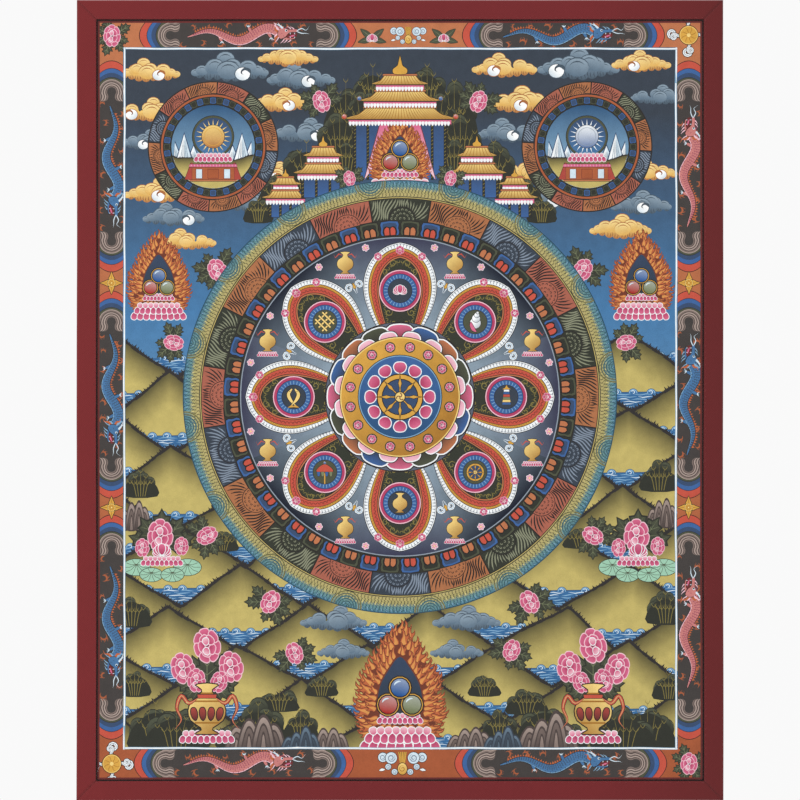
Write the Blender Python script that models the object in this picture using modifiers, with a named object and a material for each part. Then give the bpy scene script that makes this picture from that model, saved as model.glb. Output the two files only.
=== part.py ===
# A hanging scroll painting: a painted cotton canvas, bound on its four sides
# in folded strips of plain dark red cloth, with fine black piping in the seam.
#
# The front faces -Y and +X is to the right. The top edge lies along Z = 0, its
# middle is the origin, and the cloth hangs down from it.

import math

import bmesh
import bpy
from mathutils import Matrix

# Driving sizes in metres
PAINTED_WIDTH = 0.400      # the painted face that shows inside the piping
PAINTED_HEIGHT = 0.502
BORDER_WIDTH = 0.013       # a border strip, from its outer fold to its inner edge
CLOTH = 0.001              # thickness of the border cloth
CANVAS = 0.001             # thickness of the canvas with its ground and paint
PIPING_DIAMETER = 0.001
CLEARANCE = 0.0003         # left between neighbouring pieces

# How the cloth hangs: long shallow waves that start below the straight top
# edge, and lower corners that come forward a little
WAVE_DEPTH = 0.0016
WAVE_LENGTH = 0.290
WAVE_SLANT = 0.9           # radians by which the side edges lead or lag the middle
CORNER_CURL = 0.0014

# Fineness of the solids
STATION = 0.022            # distance between the rows of points that follow the waves
FOLD_STEPS = 4             # flats around a strip's outer fold
PIPING_RESOLUTION = 1      # a six-sided cord

# Sizes that follow from those above
SEAM_WIDTH = CLEARANCE + PIPING_DIAMETER
WIDTH = PAINTED_WIDTH + 2 * (BORDER_WIDTH + SEAM_WIDTH)
HEIGHT = PAINTED_HEIGHT + 2 * (BORDER_WIDTH + SEAM_WIDTH)
FOLD_RADIUS = CANVAS / 2 + CLEARANCE + CLOTH / 2    # to the middle of the cloth
CANVAS_INSET = FOLD_RADIUS + CLOTH / 2              # canvas edge, from the outer fold
MITRE_SETBACK = CLEARANCE / math.sqrt(2)            # along an edge, at each corner

# Each edge: turn about Y, middle of the edge in X and Z, and its length
EDGES = {
    "top": {"turn": 0.0, "x": 0.0, "z": 0.0, "length": WIDTH},
    "right": {"turn": math.pi / 2, "x": WIDTH / 2, "z": -HEIGHT / 2, "length": HEIGHT},
    "bottom": {"turn": math.pi, "x": 0.0, "z": -HEIGHT, "length": WIDTH},
    "left": {"turn": -math.pi / 2, "x": -WIDTH / 2, "z": -HEIGHT / 2, "length": HEIGHT},
}

# Colours as linear red, green and blue
DARK_RED = (0.185, 0.033, 0.033)
BLACK = (0.012, 0.010, 0.010)
PAINTED_MEAN = (0.198, 0.171, 0.138)   # the paints, taken together


def clear_scene():
    for obj in list(bpy.data.objects):
        bpy.data.objects.remove(obj, do_unlink=True)


def make_collection(name):
    collection = bpy.data.collections.new(name)
    bpy.context.scene.collection.children.link(collection)
    return collection


def make_material(name, colour, roughness):
    material = bpy.data.materials.new(name)
    material.use_nodes = True
    shader = material.node_tree.nodes["Principled BSDF"]
    shader.inputs["Base Color"].default_value = (*colour, 1.0)
    shader.inputs["Roughness"].default_value = roughness
    shader.inputs["Metallic"].default_value = 0.0
    return material


def hang_depth(x, z):
    """How far the cloth at (x, z) stands from the upright plane through its top edge."""
    drop = -z / HEIGHT
    across = 2 * x / WIDTH
    freedom = 1 - (1 - drop) ** 4
    phase = 2 * math.pi * -z / WAVE_LENGTH + WAVE_SLANT * across
    wave = WAVE_DEPTH * freedom * math.sin(phase)
    curl = CORNER_CURL * drop ** 2 * across ** 4
    return wave - curl


def hang(mesh):
    for vertex in mesh.vertices:
        vertex.co.y += hang_depth(vertex.co.x, vertex.co.z)
    mesh.update()


def station_count(length):
    return round(length / STATION)


def evaluated_mesh(obj):
    """The mesh of an object with its modifiers or bevel applied; the object is removed."""
    collection = bpy.context.scene.collection
    collection.objects.link(obj)
    depsgraph = bpy.context.evaluated_depsgraph_get()
    mesh = bpy.data.meshes.new_from_object(obj.evaluated_get(depsgraph))
    bpy.data.objects.remove(obj, do_unlink=True)
    return mesh


def add_piece(name, mesh, material, collection):
    mesh.name = name
    mesh.materials.clear()
    mesh.materials.append(material)
    mesh.shade_smooth()
    mesh.set_sharp_from_angle(angle=math.radians(40))
    obj = bpy.data.objects.new(name, mesh)
    collection.objects.link(obj)
    return obj


def make_canvas(collection):
    """The painted canvas, flat but for the waves, with its edge inside the border's fold."""
    width = WIDTH - 2 * CANVAS_INSET
    height = HEIGHT - 2 * CANVAS_INSET
    bm = bmesh.new()
    bmesh.ops.create_grid(
        bm, x_segments=station_count(width), y_segments=station_count(height), size=0.5)
    for vert in bm.verts:
        vert.co = (vert.co.x * width, 0.0, vert.co.y * height - HEIGHT / 2)
    mesh = bpy.data.meshes.new("canvas_panel")
    bm.to_mesh(mesh)
    bm.free()
    hang(mesh)

    material = make_material("painted_canvas", PAINTED_MEAN, 0.75)
    obj = add_piece("canvas_panel", mesh, material, collection)
    wall = obj.modifiers.new("canvas_thickness", "SOLIDIFY")
    wall.thickness = CANVAS
    wall.offset = 0.0
    return obj


def fold_profile():
    """Middle of the strip's cloth, as (distance in from the outer edge, depth):
    front layer, round the outer fold, back layer."""
    centre = CLOTH / 2 + FOLD_RADIUS
    profile = [(BORDER_WIDTH, -FOLD_RADIUS)]
    for step in range(FOLD_STEPS + 1):
        angle = math.pi * step / FOLD_STEPS
        profile.append((centre - FOLD_RADIUS * math.sin(angle),
                        -FOLD_RADIUS * math.cos(angle)))
    profile.append((BORDER_WIDTH, FOLD_RADIUS))
    return profile


def mitre(mesh, length):
    """Cuts both ends of a piece along an edge at 45 degrees, and closes the cuts."""
    bm = bmesh.new()
    bm.from_mesh(mesh)
    for side in (-1, 1):
        bmesh.ops.bisect_plane(
            bm, geom=bm.verts[:] + bm.edges[:] + bm.faces[:], dist=1e-7,
            plane_co=(side * (length / 2 - MITRE_SETBACK), 0.0, 0.0),
            plane_no=(side, 0.0, -1.0), clear_outer=True)
        open_edges = [edge for edge in bm.edges if edge.is_boundary]
        bmesh.ops.holes_fill(bm, edges=open_edges, sides=0)
    bmesh.ops.triangulate(bm, faces=bm.faces[:])
    bm.to_mesh(mesh)
    bm.free()


def place_on_edge(mesh, edge):
    """Moves a piece from its own frame, with its outer side along local X, to its edge."""
    turn = Matrix.Rotation(edge["turn"], 4, "Y")
    move = Matrix.Translation((edge["x"], 0.0, edge["z"]))
    mesh.transform(move @ turn)
    hang(mesh)


def strip_mesh(length):
    """A strip of border cloth folded over the canvas's edge, before its ends are cut."""
    profile = fold_profile()
    bm = bmesh.new()
    bmesh.ops.create_grid(
        bm, x_segments=station_count(length), y_segments=len(profile) - 1, size=0.5)
    for vert in bm.verts:
        row = round((vert.co.y + 0.5) * (len(profile) - 1))
        inset, depth = profile[row]
        vert.co = (vert.co.x * length, depth, -inset)
    mesh = bpy.data.meshes.new("strip")
    bm.to_mesh(mesh)
    bm.free()

    obj = bpy.data.objects.new("strip", mesh)
    wall = obj.modifiers.new("cloth_thickness", "SOLIDIFY")
    wall.thickness = CLOTH
    wall.offset = 0.0
    wall.use_even_offset = True
    return evaluated_mesh(obj)


def piping_mesh(length):
    """A straight length of piping beside the strip's inner edge, on the canvas."""
    curve = bpy.data.curves.new("piping", "CURVE")
    curve.dimensions = "3D"
    curve.bevel_depth = PIPING_DIAMETER / 2
    curve.bevel_resolution = PIPING_RESOLUTION
    curve.use_fill_caps = True
    spline = curve.splines.new("POLY")
    count = station_count(length)
    spline.points.add(count)
    inset = BORDER_WIDTH + CLEARANCE + PIPING_DIAMETER / 2
    depth = -(CANVAS / 2 + CLEARANCE + PIPING_DIAMETER / 2)
    for index, point in enumerate(spline.points):
        point.co = (length * (index / count - 0.5), depth, -inset, 1.0)

    mesh = evaluated_mesh(bpy.data.objects.new("piping", curve))
    bm = bmesh.new()
    bm.from_mesh(mesh)
    bmesh.ops.remove_doubles(bm, verts=bm.verts[:], dist=1e-6)
    bm.to_mesh(mesh)
    bm.free()
    return mesh


def make_edge_pieces(collection):
    """The four border strips and the four lengths of piping, mitred at the corners."""
    for name, edge in EDGES.items():
        strip = strip_mesh(edge["length"])
        mitre(strip, edge["length"])
        place_on_edge(strip, edge)
        add_piece(f"border_{name}", strip,
                  make_material(f"red_cloth_{name}", DARK_RED, 0.85), collection)

        piping = piping_mesh(edge["length"])
        mitre(piping, edge["length"])
        place_on_edge(piping, edge)
        add_piece(f"piping_{name}", piping,
                  make_material(f"black_piping_{name}", BLACK, 0.6), collection)


clear_scene()
scroll = make_collection("scroll_painting")
make_canvas(scroll)
make_edge_pieces(scroll)
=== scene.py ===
import math

import bmesh
import bpy
import numpy as np
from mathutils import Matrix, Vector
from mathutils.geometry import delaunay_2d_cdt


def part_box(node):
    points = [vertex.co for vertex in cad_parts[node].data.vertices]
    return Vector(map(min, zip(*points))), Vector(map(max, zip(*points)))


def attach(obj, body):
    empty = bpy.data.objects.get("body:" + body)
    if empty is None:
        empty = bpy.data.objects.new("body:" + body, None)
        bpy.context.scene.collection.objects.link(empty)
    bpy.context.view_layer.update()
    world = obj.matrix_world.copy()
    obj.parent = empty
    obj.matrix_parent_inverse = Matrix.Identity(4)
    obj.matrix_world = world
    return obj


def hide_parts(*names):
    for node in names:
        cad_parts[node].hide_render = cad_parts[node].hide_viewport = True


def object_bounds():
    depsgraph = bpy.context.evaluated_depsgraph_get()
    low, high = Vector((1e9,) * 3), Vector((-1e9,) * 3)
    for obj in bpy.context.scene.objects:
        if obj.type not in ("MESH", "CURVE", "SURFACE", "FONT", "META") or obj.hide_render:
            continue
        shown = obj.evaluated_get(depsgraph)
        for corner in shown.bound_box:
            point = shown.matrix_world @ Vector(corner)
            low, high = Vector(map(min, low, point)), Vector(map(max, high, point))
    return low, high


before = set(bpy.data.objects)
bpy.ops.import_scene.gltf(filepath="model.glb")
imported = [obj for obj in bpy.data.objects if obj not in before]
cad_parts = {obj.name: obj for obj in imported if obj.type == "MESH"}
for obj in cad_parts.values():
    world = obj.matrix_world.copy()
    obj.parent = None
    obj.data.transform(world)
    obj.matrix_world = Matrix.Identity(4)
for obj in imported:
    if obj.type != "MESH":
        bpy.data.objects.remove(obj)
cadLow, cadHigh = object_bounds()

# Sizes read from the frame, in metres
canvasLow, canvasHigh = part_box("canvas_panel")
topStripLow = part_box("border_top")[0]

scroll = {
    "width": cadHigh.x - cadLow.x,
    "height": cadHigh.z - cadLow.z,
    "border": -topStripLow.z,      # a strip, from its outer fold to its inner edge
    "canvas": 0.0010,              # thickness of the canvas
    "cloth": 0.0010,               # thickness of the border cloth
    "clearance": 0.0003,
    "piping": 0.0010,
}
centreZ = -scroll["height"] / 2
paintedHalf = (200.0, 251.0)       # the painted face inside the piping, millimetres

# The way the cloth hangs, as in the frame: shallow waves below a straight top edge
hanging = {"waveDepth": 0.0016, "waveLength": 0.290, "waveSlant": 0.9, "cornerCurl": 0.0014}


def hangDepth(x, z):
    drop = np.clip(-z / scroll["height"], 0, 1)
    across = 2 * x / scroll["width"]
    freedom = 1 - (1 - drop) ** 4
    phase = 2 * math.pi * -z / hanging["waveLength"] + hanging["waveSlant"] * across
    wave = hanging["waveDepth"] * freedom * np.sin(phase)
    return wave - hanging["cornerCurl"] * drop ** 2 * across ** 4


def linear(hexColour):
    channels = [int(hexColour[i:i + 2], 16) / 255 for i in (0, 2, 4)]
    return tuple(c / 12.92 if c <= 0.04045 else ((c + 0.055) / 1.055) ** 2.4 for c in channels)


def feed(tree, node, inputs):  # values and links for a node's inputs
    for key, value in inputs.items():
        if isinstance(value, bpy.types.Node):
            value = value.outputs[0]
        if isinstance(value, bpy.types.NodeSocket):
            tree.links.new(value, node.inputs[key])
        else:
            node.inputs[key].default_value = value
    return node


def addNode(tree, kind, inputs=None, **settings):
    node = tree.nodes.new(kind)
    for key, value in settings.items():
        setattr(node, key, value)
    return feed(tree, node, inputs or {})


# Mineral and earth colours as they look dry, under gum or glue. Those whose
# name starts with gold are mixed with gold powder and shine a little.
pigments = {
    "ink": "231d1d", "charcoal": "3f3a38", "soot": "2b2828", "white": "eef2f3",
    "pearl": "cfe0ea", "ash": "8e9aa6", "slate": "59606f", "dusk": "474d60",
    "nightSky": "343d49", "duskSky": "3b5876", "daySky": "4276a4", "paleSky": "7fa6c2",
    "indigo": "34496a", "azure": "3a6199", "skyLine": "84aecd", "lake": "356a9c",
    "lakeDeep": "244d74", "orange": "b9714a", "orangeDeep": "a25431", "vermilion": "c1503e",
    "red": "a8453a", "maroon": "672927", "rust": "a85a36", "rustDeep": "6f3624",
    "rose": "d4688a", "roseDeep": "b03c63", "blush": "ecbfca", "plum": "8a3a55",
    "leaf": "4a4e3c", "leafDeep": "2b2d25", "leafLit": "79805f", "jade": "9cc8ae",
    "moss": "474b3b", "mossDeep": "2f3228",
    "stone": "7d6d66", "stoneLit": "a5938a", "stoneDeep": "4b403d",
    "straw": "bfae66", "strawLit": "e3d08a", "olive": "80743c", "oliveDeep": "4c472b",
    "sand": "cfae76",
    "cloudGold": "dfb364", "cloudGoldLit": "f0d691", "cloudGoldDeep": "a9693a",
    "cloudGrey": "647889", "cloudGreyLit": "8a9caa", "cloudGreyDeep": "43525f",
    "goldLit": "f0d080", "gold": "d6a347", "goldDeep": "a3702c",
    "teal": "356985", "tealDeep": "203f50", "tealLit": "678f8d", "seaGold": "a19c65",
    "sedge": "b3a66c", "brick": "a65f4c", "clay": "a86b45", "sage": "858870", "steel": "7f8c9c",
    "dragonBlue": "44709c", "dragonPink": "c47a76",
    "ember": "9a5638", "flame": "b8623a", "flameLit": "d6924e",
}


def flat(name):
    paint = np.zeros((3, 4))
    paint[0] = (*linear(pigments[name]), float(name.startswith("gold")))
    return paint


def graded(nameA, nameB, start, end):  # wet shading, even from start to end
    paint = flat(nameA)
    change = flat(nameB)[0] - paint[0]
    way = np.subtract(end, start)
    way = way / way.dot(way)
    paint[0] -= change * way.dot(start)
    paint[1:] = way[:, None] * change
    return paint


# A stamp is a list of (outline, paint), the lowest layer first, in millimetres

def dab(outline, paint):
    return [(np.asarray(outline, float), flat(paint) if isinstance(paint, str) else paint)]


def placed(stamp, at=(0.0, 0.0), turn=0.0, size=1.0, flip=False):
    angle = math.radians(turn)
    spread = size * np.array([[math.cos(angle), math.sin(angle)],
                              [-math.sin(angle), math.cos(angle)]])
    if flip:
        spread = np.diag([-1.0, 1.0]) @ spread
    undo = np.eye(3)
    undo[1:, 1:] = np.linalg.inv(spread)
    undo[0, 1:] = -np.asarray(at, float) @ undo[1:, 1:]
    return [(outline @ spread + at, undo @ paint) for outline, paint in stamp]


def arc(radius, start, end, steps, at=(0, 0)):
    angles = np.radians(np.linspace(start, end, steps))
    return np.column_stack([at[0] + radius * np.cos(angles), at[1] + radius * np.sin(angles)])


def circle(radius, steps=16, at=(0, 0)):
    return arc(radius, 0, 360, steps + 1, at)[:-1]


def discs(steps, *layers, at=(0, 0)):  # one disc on another, each (radius, paint)
    return [piece for radius, paint in layers for piece in dab(circle(radius, steps, at), paint)]


def block(half, foot, top, upper=None, at=0.0):  # corners of an upright block or a trapezium
    upper = half if upper is None else upper
    return [(at - half, foot), (at + half, foot), (at + upper, top), (at - upper, top)]


def mirrored(points):  # a half outline on +x, first point to last, and its other half
    points = np.asarray(points, float)
    other = (points * (-1, 1))[::-1]
    return np.concatenate([points, other[np.abs(other[:, 0]) > 1e-6]])


def smooth(points, steps=4, closed=True):
    points = np.asarray(points, float)
    if closed:
        knots = np.concatenate([points[-1:], points, points[:2]])
    else:
        knots = np.concatenate([[2 * points[0] - points[1]], points,
                                [2 * points[-1] - points[-2]]])
    before, here, after, later = knots[:-3], knots[1:-2], knots[2:-1], knots[3:]
    t = (np.arange(steps) / steps)[None, :, None]
    before, here, after, later = (k[:, None] for k in (before, here, after, later))
    curve = 0.5 * (2 * here + (after - before) * t
                   + (2 * before - 5 * here + 4 * after - later) * t ** 2
                   + (3 * here - before - 3 * after + later) * t ** 3)
    curve = curve.reshape(-1, 2)
    return curve if closed else np.concatenate([curve, points[-1:]])


def area(outline):
    x, y = outline.T
    return 0.5 * float(x @ np.roll(y, -1) - y @ np.roll(x, -1))


def shrink(outline, margin):
    if area(outline) < 0:
        outline = outline[::-1]
    along = np.roll(outline, -1, 0) - np.roll(outline, 1, 0)
    inward = np.column_stack([-along[:, 1], along[:, 0]])
    return outline + margin * inward / np.maximum(np.linalg.norm(inward, axis=1), 1e-9)[:, None]


def edged(outline, fill, edge="ink", width=0.35):
    outline = np.asarray(outline, float)
    return dab(outline, edge) + dab(shrink(outline, width), fill)


def stroke(points, width, paint, head=0.25, tail=0.25):  # a brush line that swells and thins
    points = np.asarray(points, float)
    along = np.gradient(points, axis=0)
    across = np.column_stack([-along[:, 1], along[:, 0]])
    across /= np.maximum(np.linalg.norm(across, axis=1), 1e-9)[:, None]
    t = np.linspace(0, 1, len(points))
    ends = [share / reach for share, reach in ((t, head), (1 - t, tail)) if reach]
    swell = np.min([np.ones_like(t), *ends], axis=0).clip(0.12)
    half = (width / 2 * swell)[:, None] * across
    left, right = points + half, points - half
    return [piece for i in range(len(points) - 1)
            for piece in dab([right[i], right[i + 1], left[i + 1], left[i]], paint)]


def strokes(points, layers, head=0.25, tail=0.25):  # lines one on another, each (width, paint)
    return [piece for width, paint in layers for piece in stroke(points, width, paint, head, tail)]


def spiral(at, outer, inner, start, turns, steps):
    t = np.linspace(0, 1, steps)
    angle = math.radians(start) + 2 * math.pi * turns * t
    radius = outer + (inner - outer) * t
    return np.column_stack([at[0] + radius * np.cos(angle), at[1] + radius * np.sin(angle)])


def newTree(name, sockets):
    tree = bpy.data.node_groups.new(name, "GeometryNodeTree")
    for label, kind in sockets.items():
        tree.interface.new_socket(label, in_out="INPUT", socket_type="NodeSocket" + kind)
    tree.interface.new_socket("Geometry", in_out="OUTPUT", socket_type="NodeSocketGeometry")
    return tree, tree.nodes.new("NodeGroupInput").outputs


def endTree(tree, geometry, material):
    real = addNode(tree, "GeometryNodeRealizeInstances", {"Geometry": geometry})
    covered = addNode(tree, "GeometryNodeSetMaterial", {"Geometry": real, "Material": material})
    addNode(tree, "NodeGroupOutput", {"Geometry": covered})
    return tree


def makeRingTree():  # copies of a motif turned about the origin, each moved out by Radius
    tree, given = newTree("ringOfMotifs", {
        "Motif": "Object", "Count": "Int", "Radius": "Float", "Turn": "Float",
        "Sway": "Float", "Material": "Material"})
    index = addNode(tree, "GeometryNodeInputIndex")
    share = addNode(tree, "ShaderNodeMath", {0: index, 1: given["Count"]}, operation="DIVIDE")
    angle = addNode(tree, "ShaderNodeMath", {0: share, 1: 2 * math.pi, 2: given["Turn"]},
                    operation="MULTIPLY_ADD")
    sway = addNode(tree, "FunctionNodeRandomValue", {2: -1.0, 3: 1.0, "Seed": 7})
    unsteady = addNode(tree, "ShaderNodeMath", {0: sway.outputs[1], 1: given["Sway"], 2: angle},
                       operation="MULTIPLY_ADD")
    turned = addNode(tree, "ShaderNodeCombineXYZ", {"Z": unsteady})
    outward = addNode(tree, "ShaderNodeCombineXYZ", {"Y": given["Radius"]})
    place = addNode(tree, "ShaderNodeVectorRotate", {"Vector": outward, "Angle": angle},
                    rotation_type="Z_AXIS")
    points = addNode(tree, "GeometryNodePoints", {"Count": given["Count"], "Position": place})
    motif = addNode(tree, "GeometryNodeObjectInfo", {"Object": given["Motif"]})
    copies = addNode(tree, "GeometryNodeInstanceOnPoints", {
        "Points": points, "Instance": motif.outputs["Geometry"], "Rotation": turned})
    return endTree(tree, copies, given["Material"])


def makePathTree(name, *pivots):  # copies of a motif along a curve, x along it
    tree, given = newTree(name, {
        "Geometry": "Geometry", "Motif": "Object", "Spacing": "Float", "Sway": "Float",
        "Facing": "Rotation", "Material": "Material"})
    even = addNode(tree, "GeometryNodeResampleCurve",
                   {"Curve": given["Geometry"], "Length": given["Spacing"]}, mode="LENGTH")
    tangent, facing = addNode(tree, "GeometryNodeInputTangent"), given["Facing"]
    for pivot in pivots:
        facing = addNode(tree, "FunctionNodeAlignRotationToVector",
                         {"Rotation": facing, "Vector": tangent}, axis="X", pivot_axis=pivot)
    motif = addNode(tree, "GeometryNodeObjectInfo", {"Object": given["Motif"]})
    low, high = (addNode(tree, "ShaderNodeMath", {0: 1.0, 1: given["Sway"]}, operation=change)
                 for change in ("SUBTRACT", "ADD"))
    size = addNode(tree, "FunctionNodeRandomValue", {2: low, 3: high, "Seed": 3})
    copies = addNode(tree, "GeometryNodeInstanceOnPoints", {
        "Points": even, "Instance": motif.outputs["Geometry"], "Rotation": facing,
        "Scale": size.outputs[1]})
    return endTree(tree, copies, given["Material"])


def cornerMesh(name, points, corners, starts, colours):  # faces with a colour at each corner
    mesh = bpy.data.meshes.new(name)
    mesh.vertices.add(len(points))
    mesh.vertices.foreach_set("co", points.ravel())
    mesh.loops.add(len(corners))
    mesh.loops.foreach_set("vertex_index", corners)
    mesh.polygons.add(len(starts))
    mesh.polygons.foreach_set("loop_start", starts)
    mesh.attributes.new("paint", "FLOAT_COLOR", "CORNER").data.foreach_set("color", colours.ravel())
    mesh.update(calc_edges=True)
    return mesh


def stampMesh(name, stamp):
    counts = [len(outline) for outline, paint in stamp]
    points = np.concatenate([outline for outline, paint in stamp])
    tints = np.concatenate([paint[0] + outline @ paint[1:] for outline, paint in stamp])
    return cornerMesh(name, np.column_stack([points, np.zeros(len(points))]),
                      np.arange(len(points)), np.cumsum([0] + counts[:-1]), tints)


def readAll(items, key, kind, *shape):
    values = np.empty((len(items), *shape), kind)
    items.foreach_get(key, values.ravel())
    return values


def stampFromMesh(mesh):
    corners = readAll(mesh.loops, "vertex_index", np.int32)
    points = readAll(mesh.vertices, "co", np.float32, 3)[corners, :2].astype(float)
    tints = readAll(mesh.attributes["paint"].data, "color", np.float32, 4).astype(float)
    starts = readAll(mesh.polygons, "loop_start", np.int32)
    stamp = []
    for start, end in zip(starts, [*starts[1:], len(corners)]):
        outline, tint = points[start:end], tints[start:end]
        paint = np.zeros((3, 4))
        if np.ptp(tint, axis=0).max() < 1e-5:
            paint[0] = tint[0]
        else:
            known = np.column_stack([np.ones(end - start), outline])
            paint = np.linalg.lstsq(known, tint, rcond=None)[0]
        stamp.append((outline, paint))
    return stamp


def pathObject(name, *paths, closed=False):  # a curve of straight legs for each path
    curve = bpy.data.curves.new(name, "CURVE")
    curve.dimensions = "3D"
    for points in paths:
        spline = curve.splines.new("POLY")
        spline.points.add(len(points) - 1)
        spline.use_cyclic_u = closed
        spline.points.foreach_set("co", np.column_stack([points, np.ones(len(points))]).ravel())
    return bpy.data.objects.new(name, curve)


def grown(tree, carrier, values):  # the mesh that a tree makes on a carrier object
    bpy.context.scene.collection.objects.link(carrier)
    modifier = carrier.modifiers.new("grow", "NODES")
    modifier.node_group = tree
    for socket in tree.interface.items_tree:
        if socket.in_out == "INPUT" and socket.name in values:
            modifier[socket.identifier] = values[socket.name]
    return finishedMesh(carrier)


def finishedMesh(carrier):
    carrier.update_tag()
    evaluated = carrier.evaluated_get(bpy.context.evaluated_depsgraph_get())
    mesh = bpy.data.meshes.new_from_object(evaluated)
    bpy.data.objects.remove(carrier)
    return mesh


def repeated(tree, carrier, stamp, values):
    motif = bpy.data.objects.new("motif", stampMesh("motif", stamp))
    mesh = grown(tree, carrier, {"Motif": motif, **values})
    result = stampFromMesh(mesh)
    bpy.data.meshes.remove(motif.data)
    bpy.data.meshes.remove(mesh)
    return result


ringTree, pathTree = makeRingTree(), makePathTree("motifsAlongPath", "Z")


def ring(stamp, count, radius=0.0, turn=0.0, sway=0.0):
    carrier = bpy.data.objects.new("ring", bpy.data.meshes.new("ring"))
    return repeated(ringTree, carrier, stamp, {
        "Count": count, "Radius": radius, "Turn": math.radians(turn), "Sway": sway})


def along(points, stamp, spacing, sway=0.0):
    carrier = pathObject("path", np.column_stack([points, np.zeros(len(points))]))
    return repeated(pathTree, carrier, stamp, {"Spacing": spacing, "Sway": sway})


def blade(length, width, fill="leaf", vein="leafLit"):  # a smooth leaf up from the origin
    outline = smooth(mirrored([(0, 0), (width * 0.4, length * 0.2), (width * 0.5, length * 0.5),
                               (width * 0.28, length * 0.8), (0, length)]), 3)
    return edged(outline, fill, "leafDeep", 0.25) + stroke(
        [(0, length * 0.1), (width * 0.04, length * 0.5), (0, length * 0.85)], 0.3, vein)


def toothedLeaf(length):  # the long notched leaf of a tree peony
    half = [(0, 0), (0.12, 0.10), (0.16, 0.24), (0.34, 0.34), (0.22, 0.42), (0.36, 0.58),
            (0.20, 0.62), (0.24, 0.80), (0.10, 0.82), (0, 1.0)]
    outline = mirrored(np.array(half) * length)
    leaf = dab(outline, "leafDeep") + dab(outline * (0.8, 0.9) + (0, length * 0.04), graded(
        "leafDeep", "leaf", (0, 0), (0, length)))
    for side in (-1, 1):
        for root, tip in ((0.14, (0.2, 0.36)), (0.36, (0.24, 0.57)), (0.58, (0.14, 0.77))):
            vein = np.array([(0, root), (tip[0] * 0.5, (root + tip[1]) / 2), tip])
            leaf += stroke(vein * (side * length, length), 0.26, "leafLit", 0, 0.4)
    return leaf + stroke(np.array([(0, 0), (0, 0.5), (0, 0.9)]) * length, 0.32, "leafLit", 0, 0.4)


def petal(width, height, rim="blush", body="rose", heart="roseDeep", edge=0.35):
    outline = smooth(mirrored([(width * 0.1, 0), (width * 0.38, height * 0.2), (width * 0.5, height * 0.6),
                               (width * 0.34, height * 0.92), (width * 0.1, height)]),
                     1 if height < 3.2 else 2)
    return dab(outline, rim) + dab(shrink(outline, edge), graded(
        heart, body, (0, height * 0.15), (0, height * 0.95)))


def squashed(stamp, wide, tall):
    return [(outline * (wide, tall), paint / np.array([[1], [wide], [tall]]))
            for outline, paint in stamp]


def peony(radius):
    outer = petal(radius * 0.95, radius * 0.72, "blush", "rose", "roseDeep", radius * 0.07)
    inner = petal(radius * 0.78, radius * 0.6, "blush", "rose", "roseDeep", radius * 0.07)
    heart = petal(radius * 0.6, radius * 0.52, "white", "blush", "rose", radius * 0.05)
    if radius < 3.5:
        return ring(outer, 6, radius * 0.3, sway=0.08) + placed(heart, (0, -radius * 0.1))
    bloom = dab(circle(radius * 0.85, 14), "plum")
    bloom += ring(outer, 7, radius * 0.4, sway=0.12) + ring(inner, 5, radius * 0.14, 20, 0.12)
    bloom += placed(heart, (0, radius * 0.02), 8) + placed(heart, (0, -radius * 0.1), 150)
    return squashed(bloom, 0.86, 1.12)


def peonySpray(radius, turns, length):
    leaf, stamp = toothedLeaf(length), []
    for i, turn in enumerate(turns):
        root = radius * 0.45 * np.array([-math.sin(math.radians(turn)), math.cos(math.radians(turn))])
        stamp += placed(leaf, root, turn, 1.0 - 0.1 * (i % 3))
    return stamp + peony(radius)


def lotus(width):  # an open lotus from the side, its seat at the origin
    wide, tall, stamp = width * 0.3, width * 0.42, []
    for turn, size in ((72, 0.9), (-72, 0.9), (50, 1), (-50, 1), (26, 1.05), (-26, 1.05), (0, 1.1)):
        stamp += placed(petal(wide, tall, "white", "rose", "roseDeep", width * 0.025),
                        turn=turn, size=size)
    return stamp


def lotusSeat(width):  # hanging and rising petals, the top of the seat at the origin
    stamp, step = [], width / 9
    hanging = petal(step * 1.25, step * 1.5, "white", "rose", "roseDeep", step * 0.12)
    rising = petal(step * 1.2, step * 1.2, "white", "blush", "rose", step * 0.1)
    for i in range(9):
        stamp += placed(hanging, ((i - 4) * step, -step * 0.7), 180 + 5 * (i - 4))
    for i in range(8):
        stamp += placed(rising, ((i - 3.5) * step, -step), -5 * (i - 3.5))
    return stamp


cloudTones = {
    "gold": ("cloudGoldLit", "cloudGold", "cloudGoldDeep", "rustDeep"),
    "grey": ("cloudGreyLit", "cloudGrey", "cloudGreyDeep", "nightSky"),
}


def puff(at, radius, lit, body, line, squash=0.8):
    x, y = at
    stamp = stroke(arc(radius * 1.04, 5, 175, 8) * (1, squash) + at, radius * 0.14, line, 0.4, 0.4)
    stamp += dab(circle(radius, 14) * (1, squash) + at, graded(
        lit, body, (x - radius * 0.1, y + radius * 0.75), (x + radius * 0.1, y - radius * 0.5)))
    return stamp + stroke(arc(radius * 0.7, 20, 150, 7, (0, -0.05 * radius)) * (1, squash) + at,
                          radius * 0.15, line, 0.6, 0.5)


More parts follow.
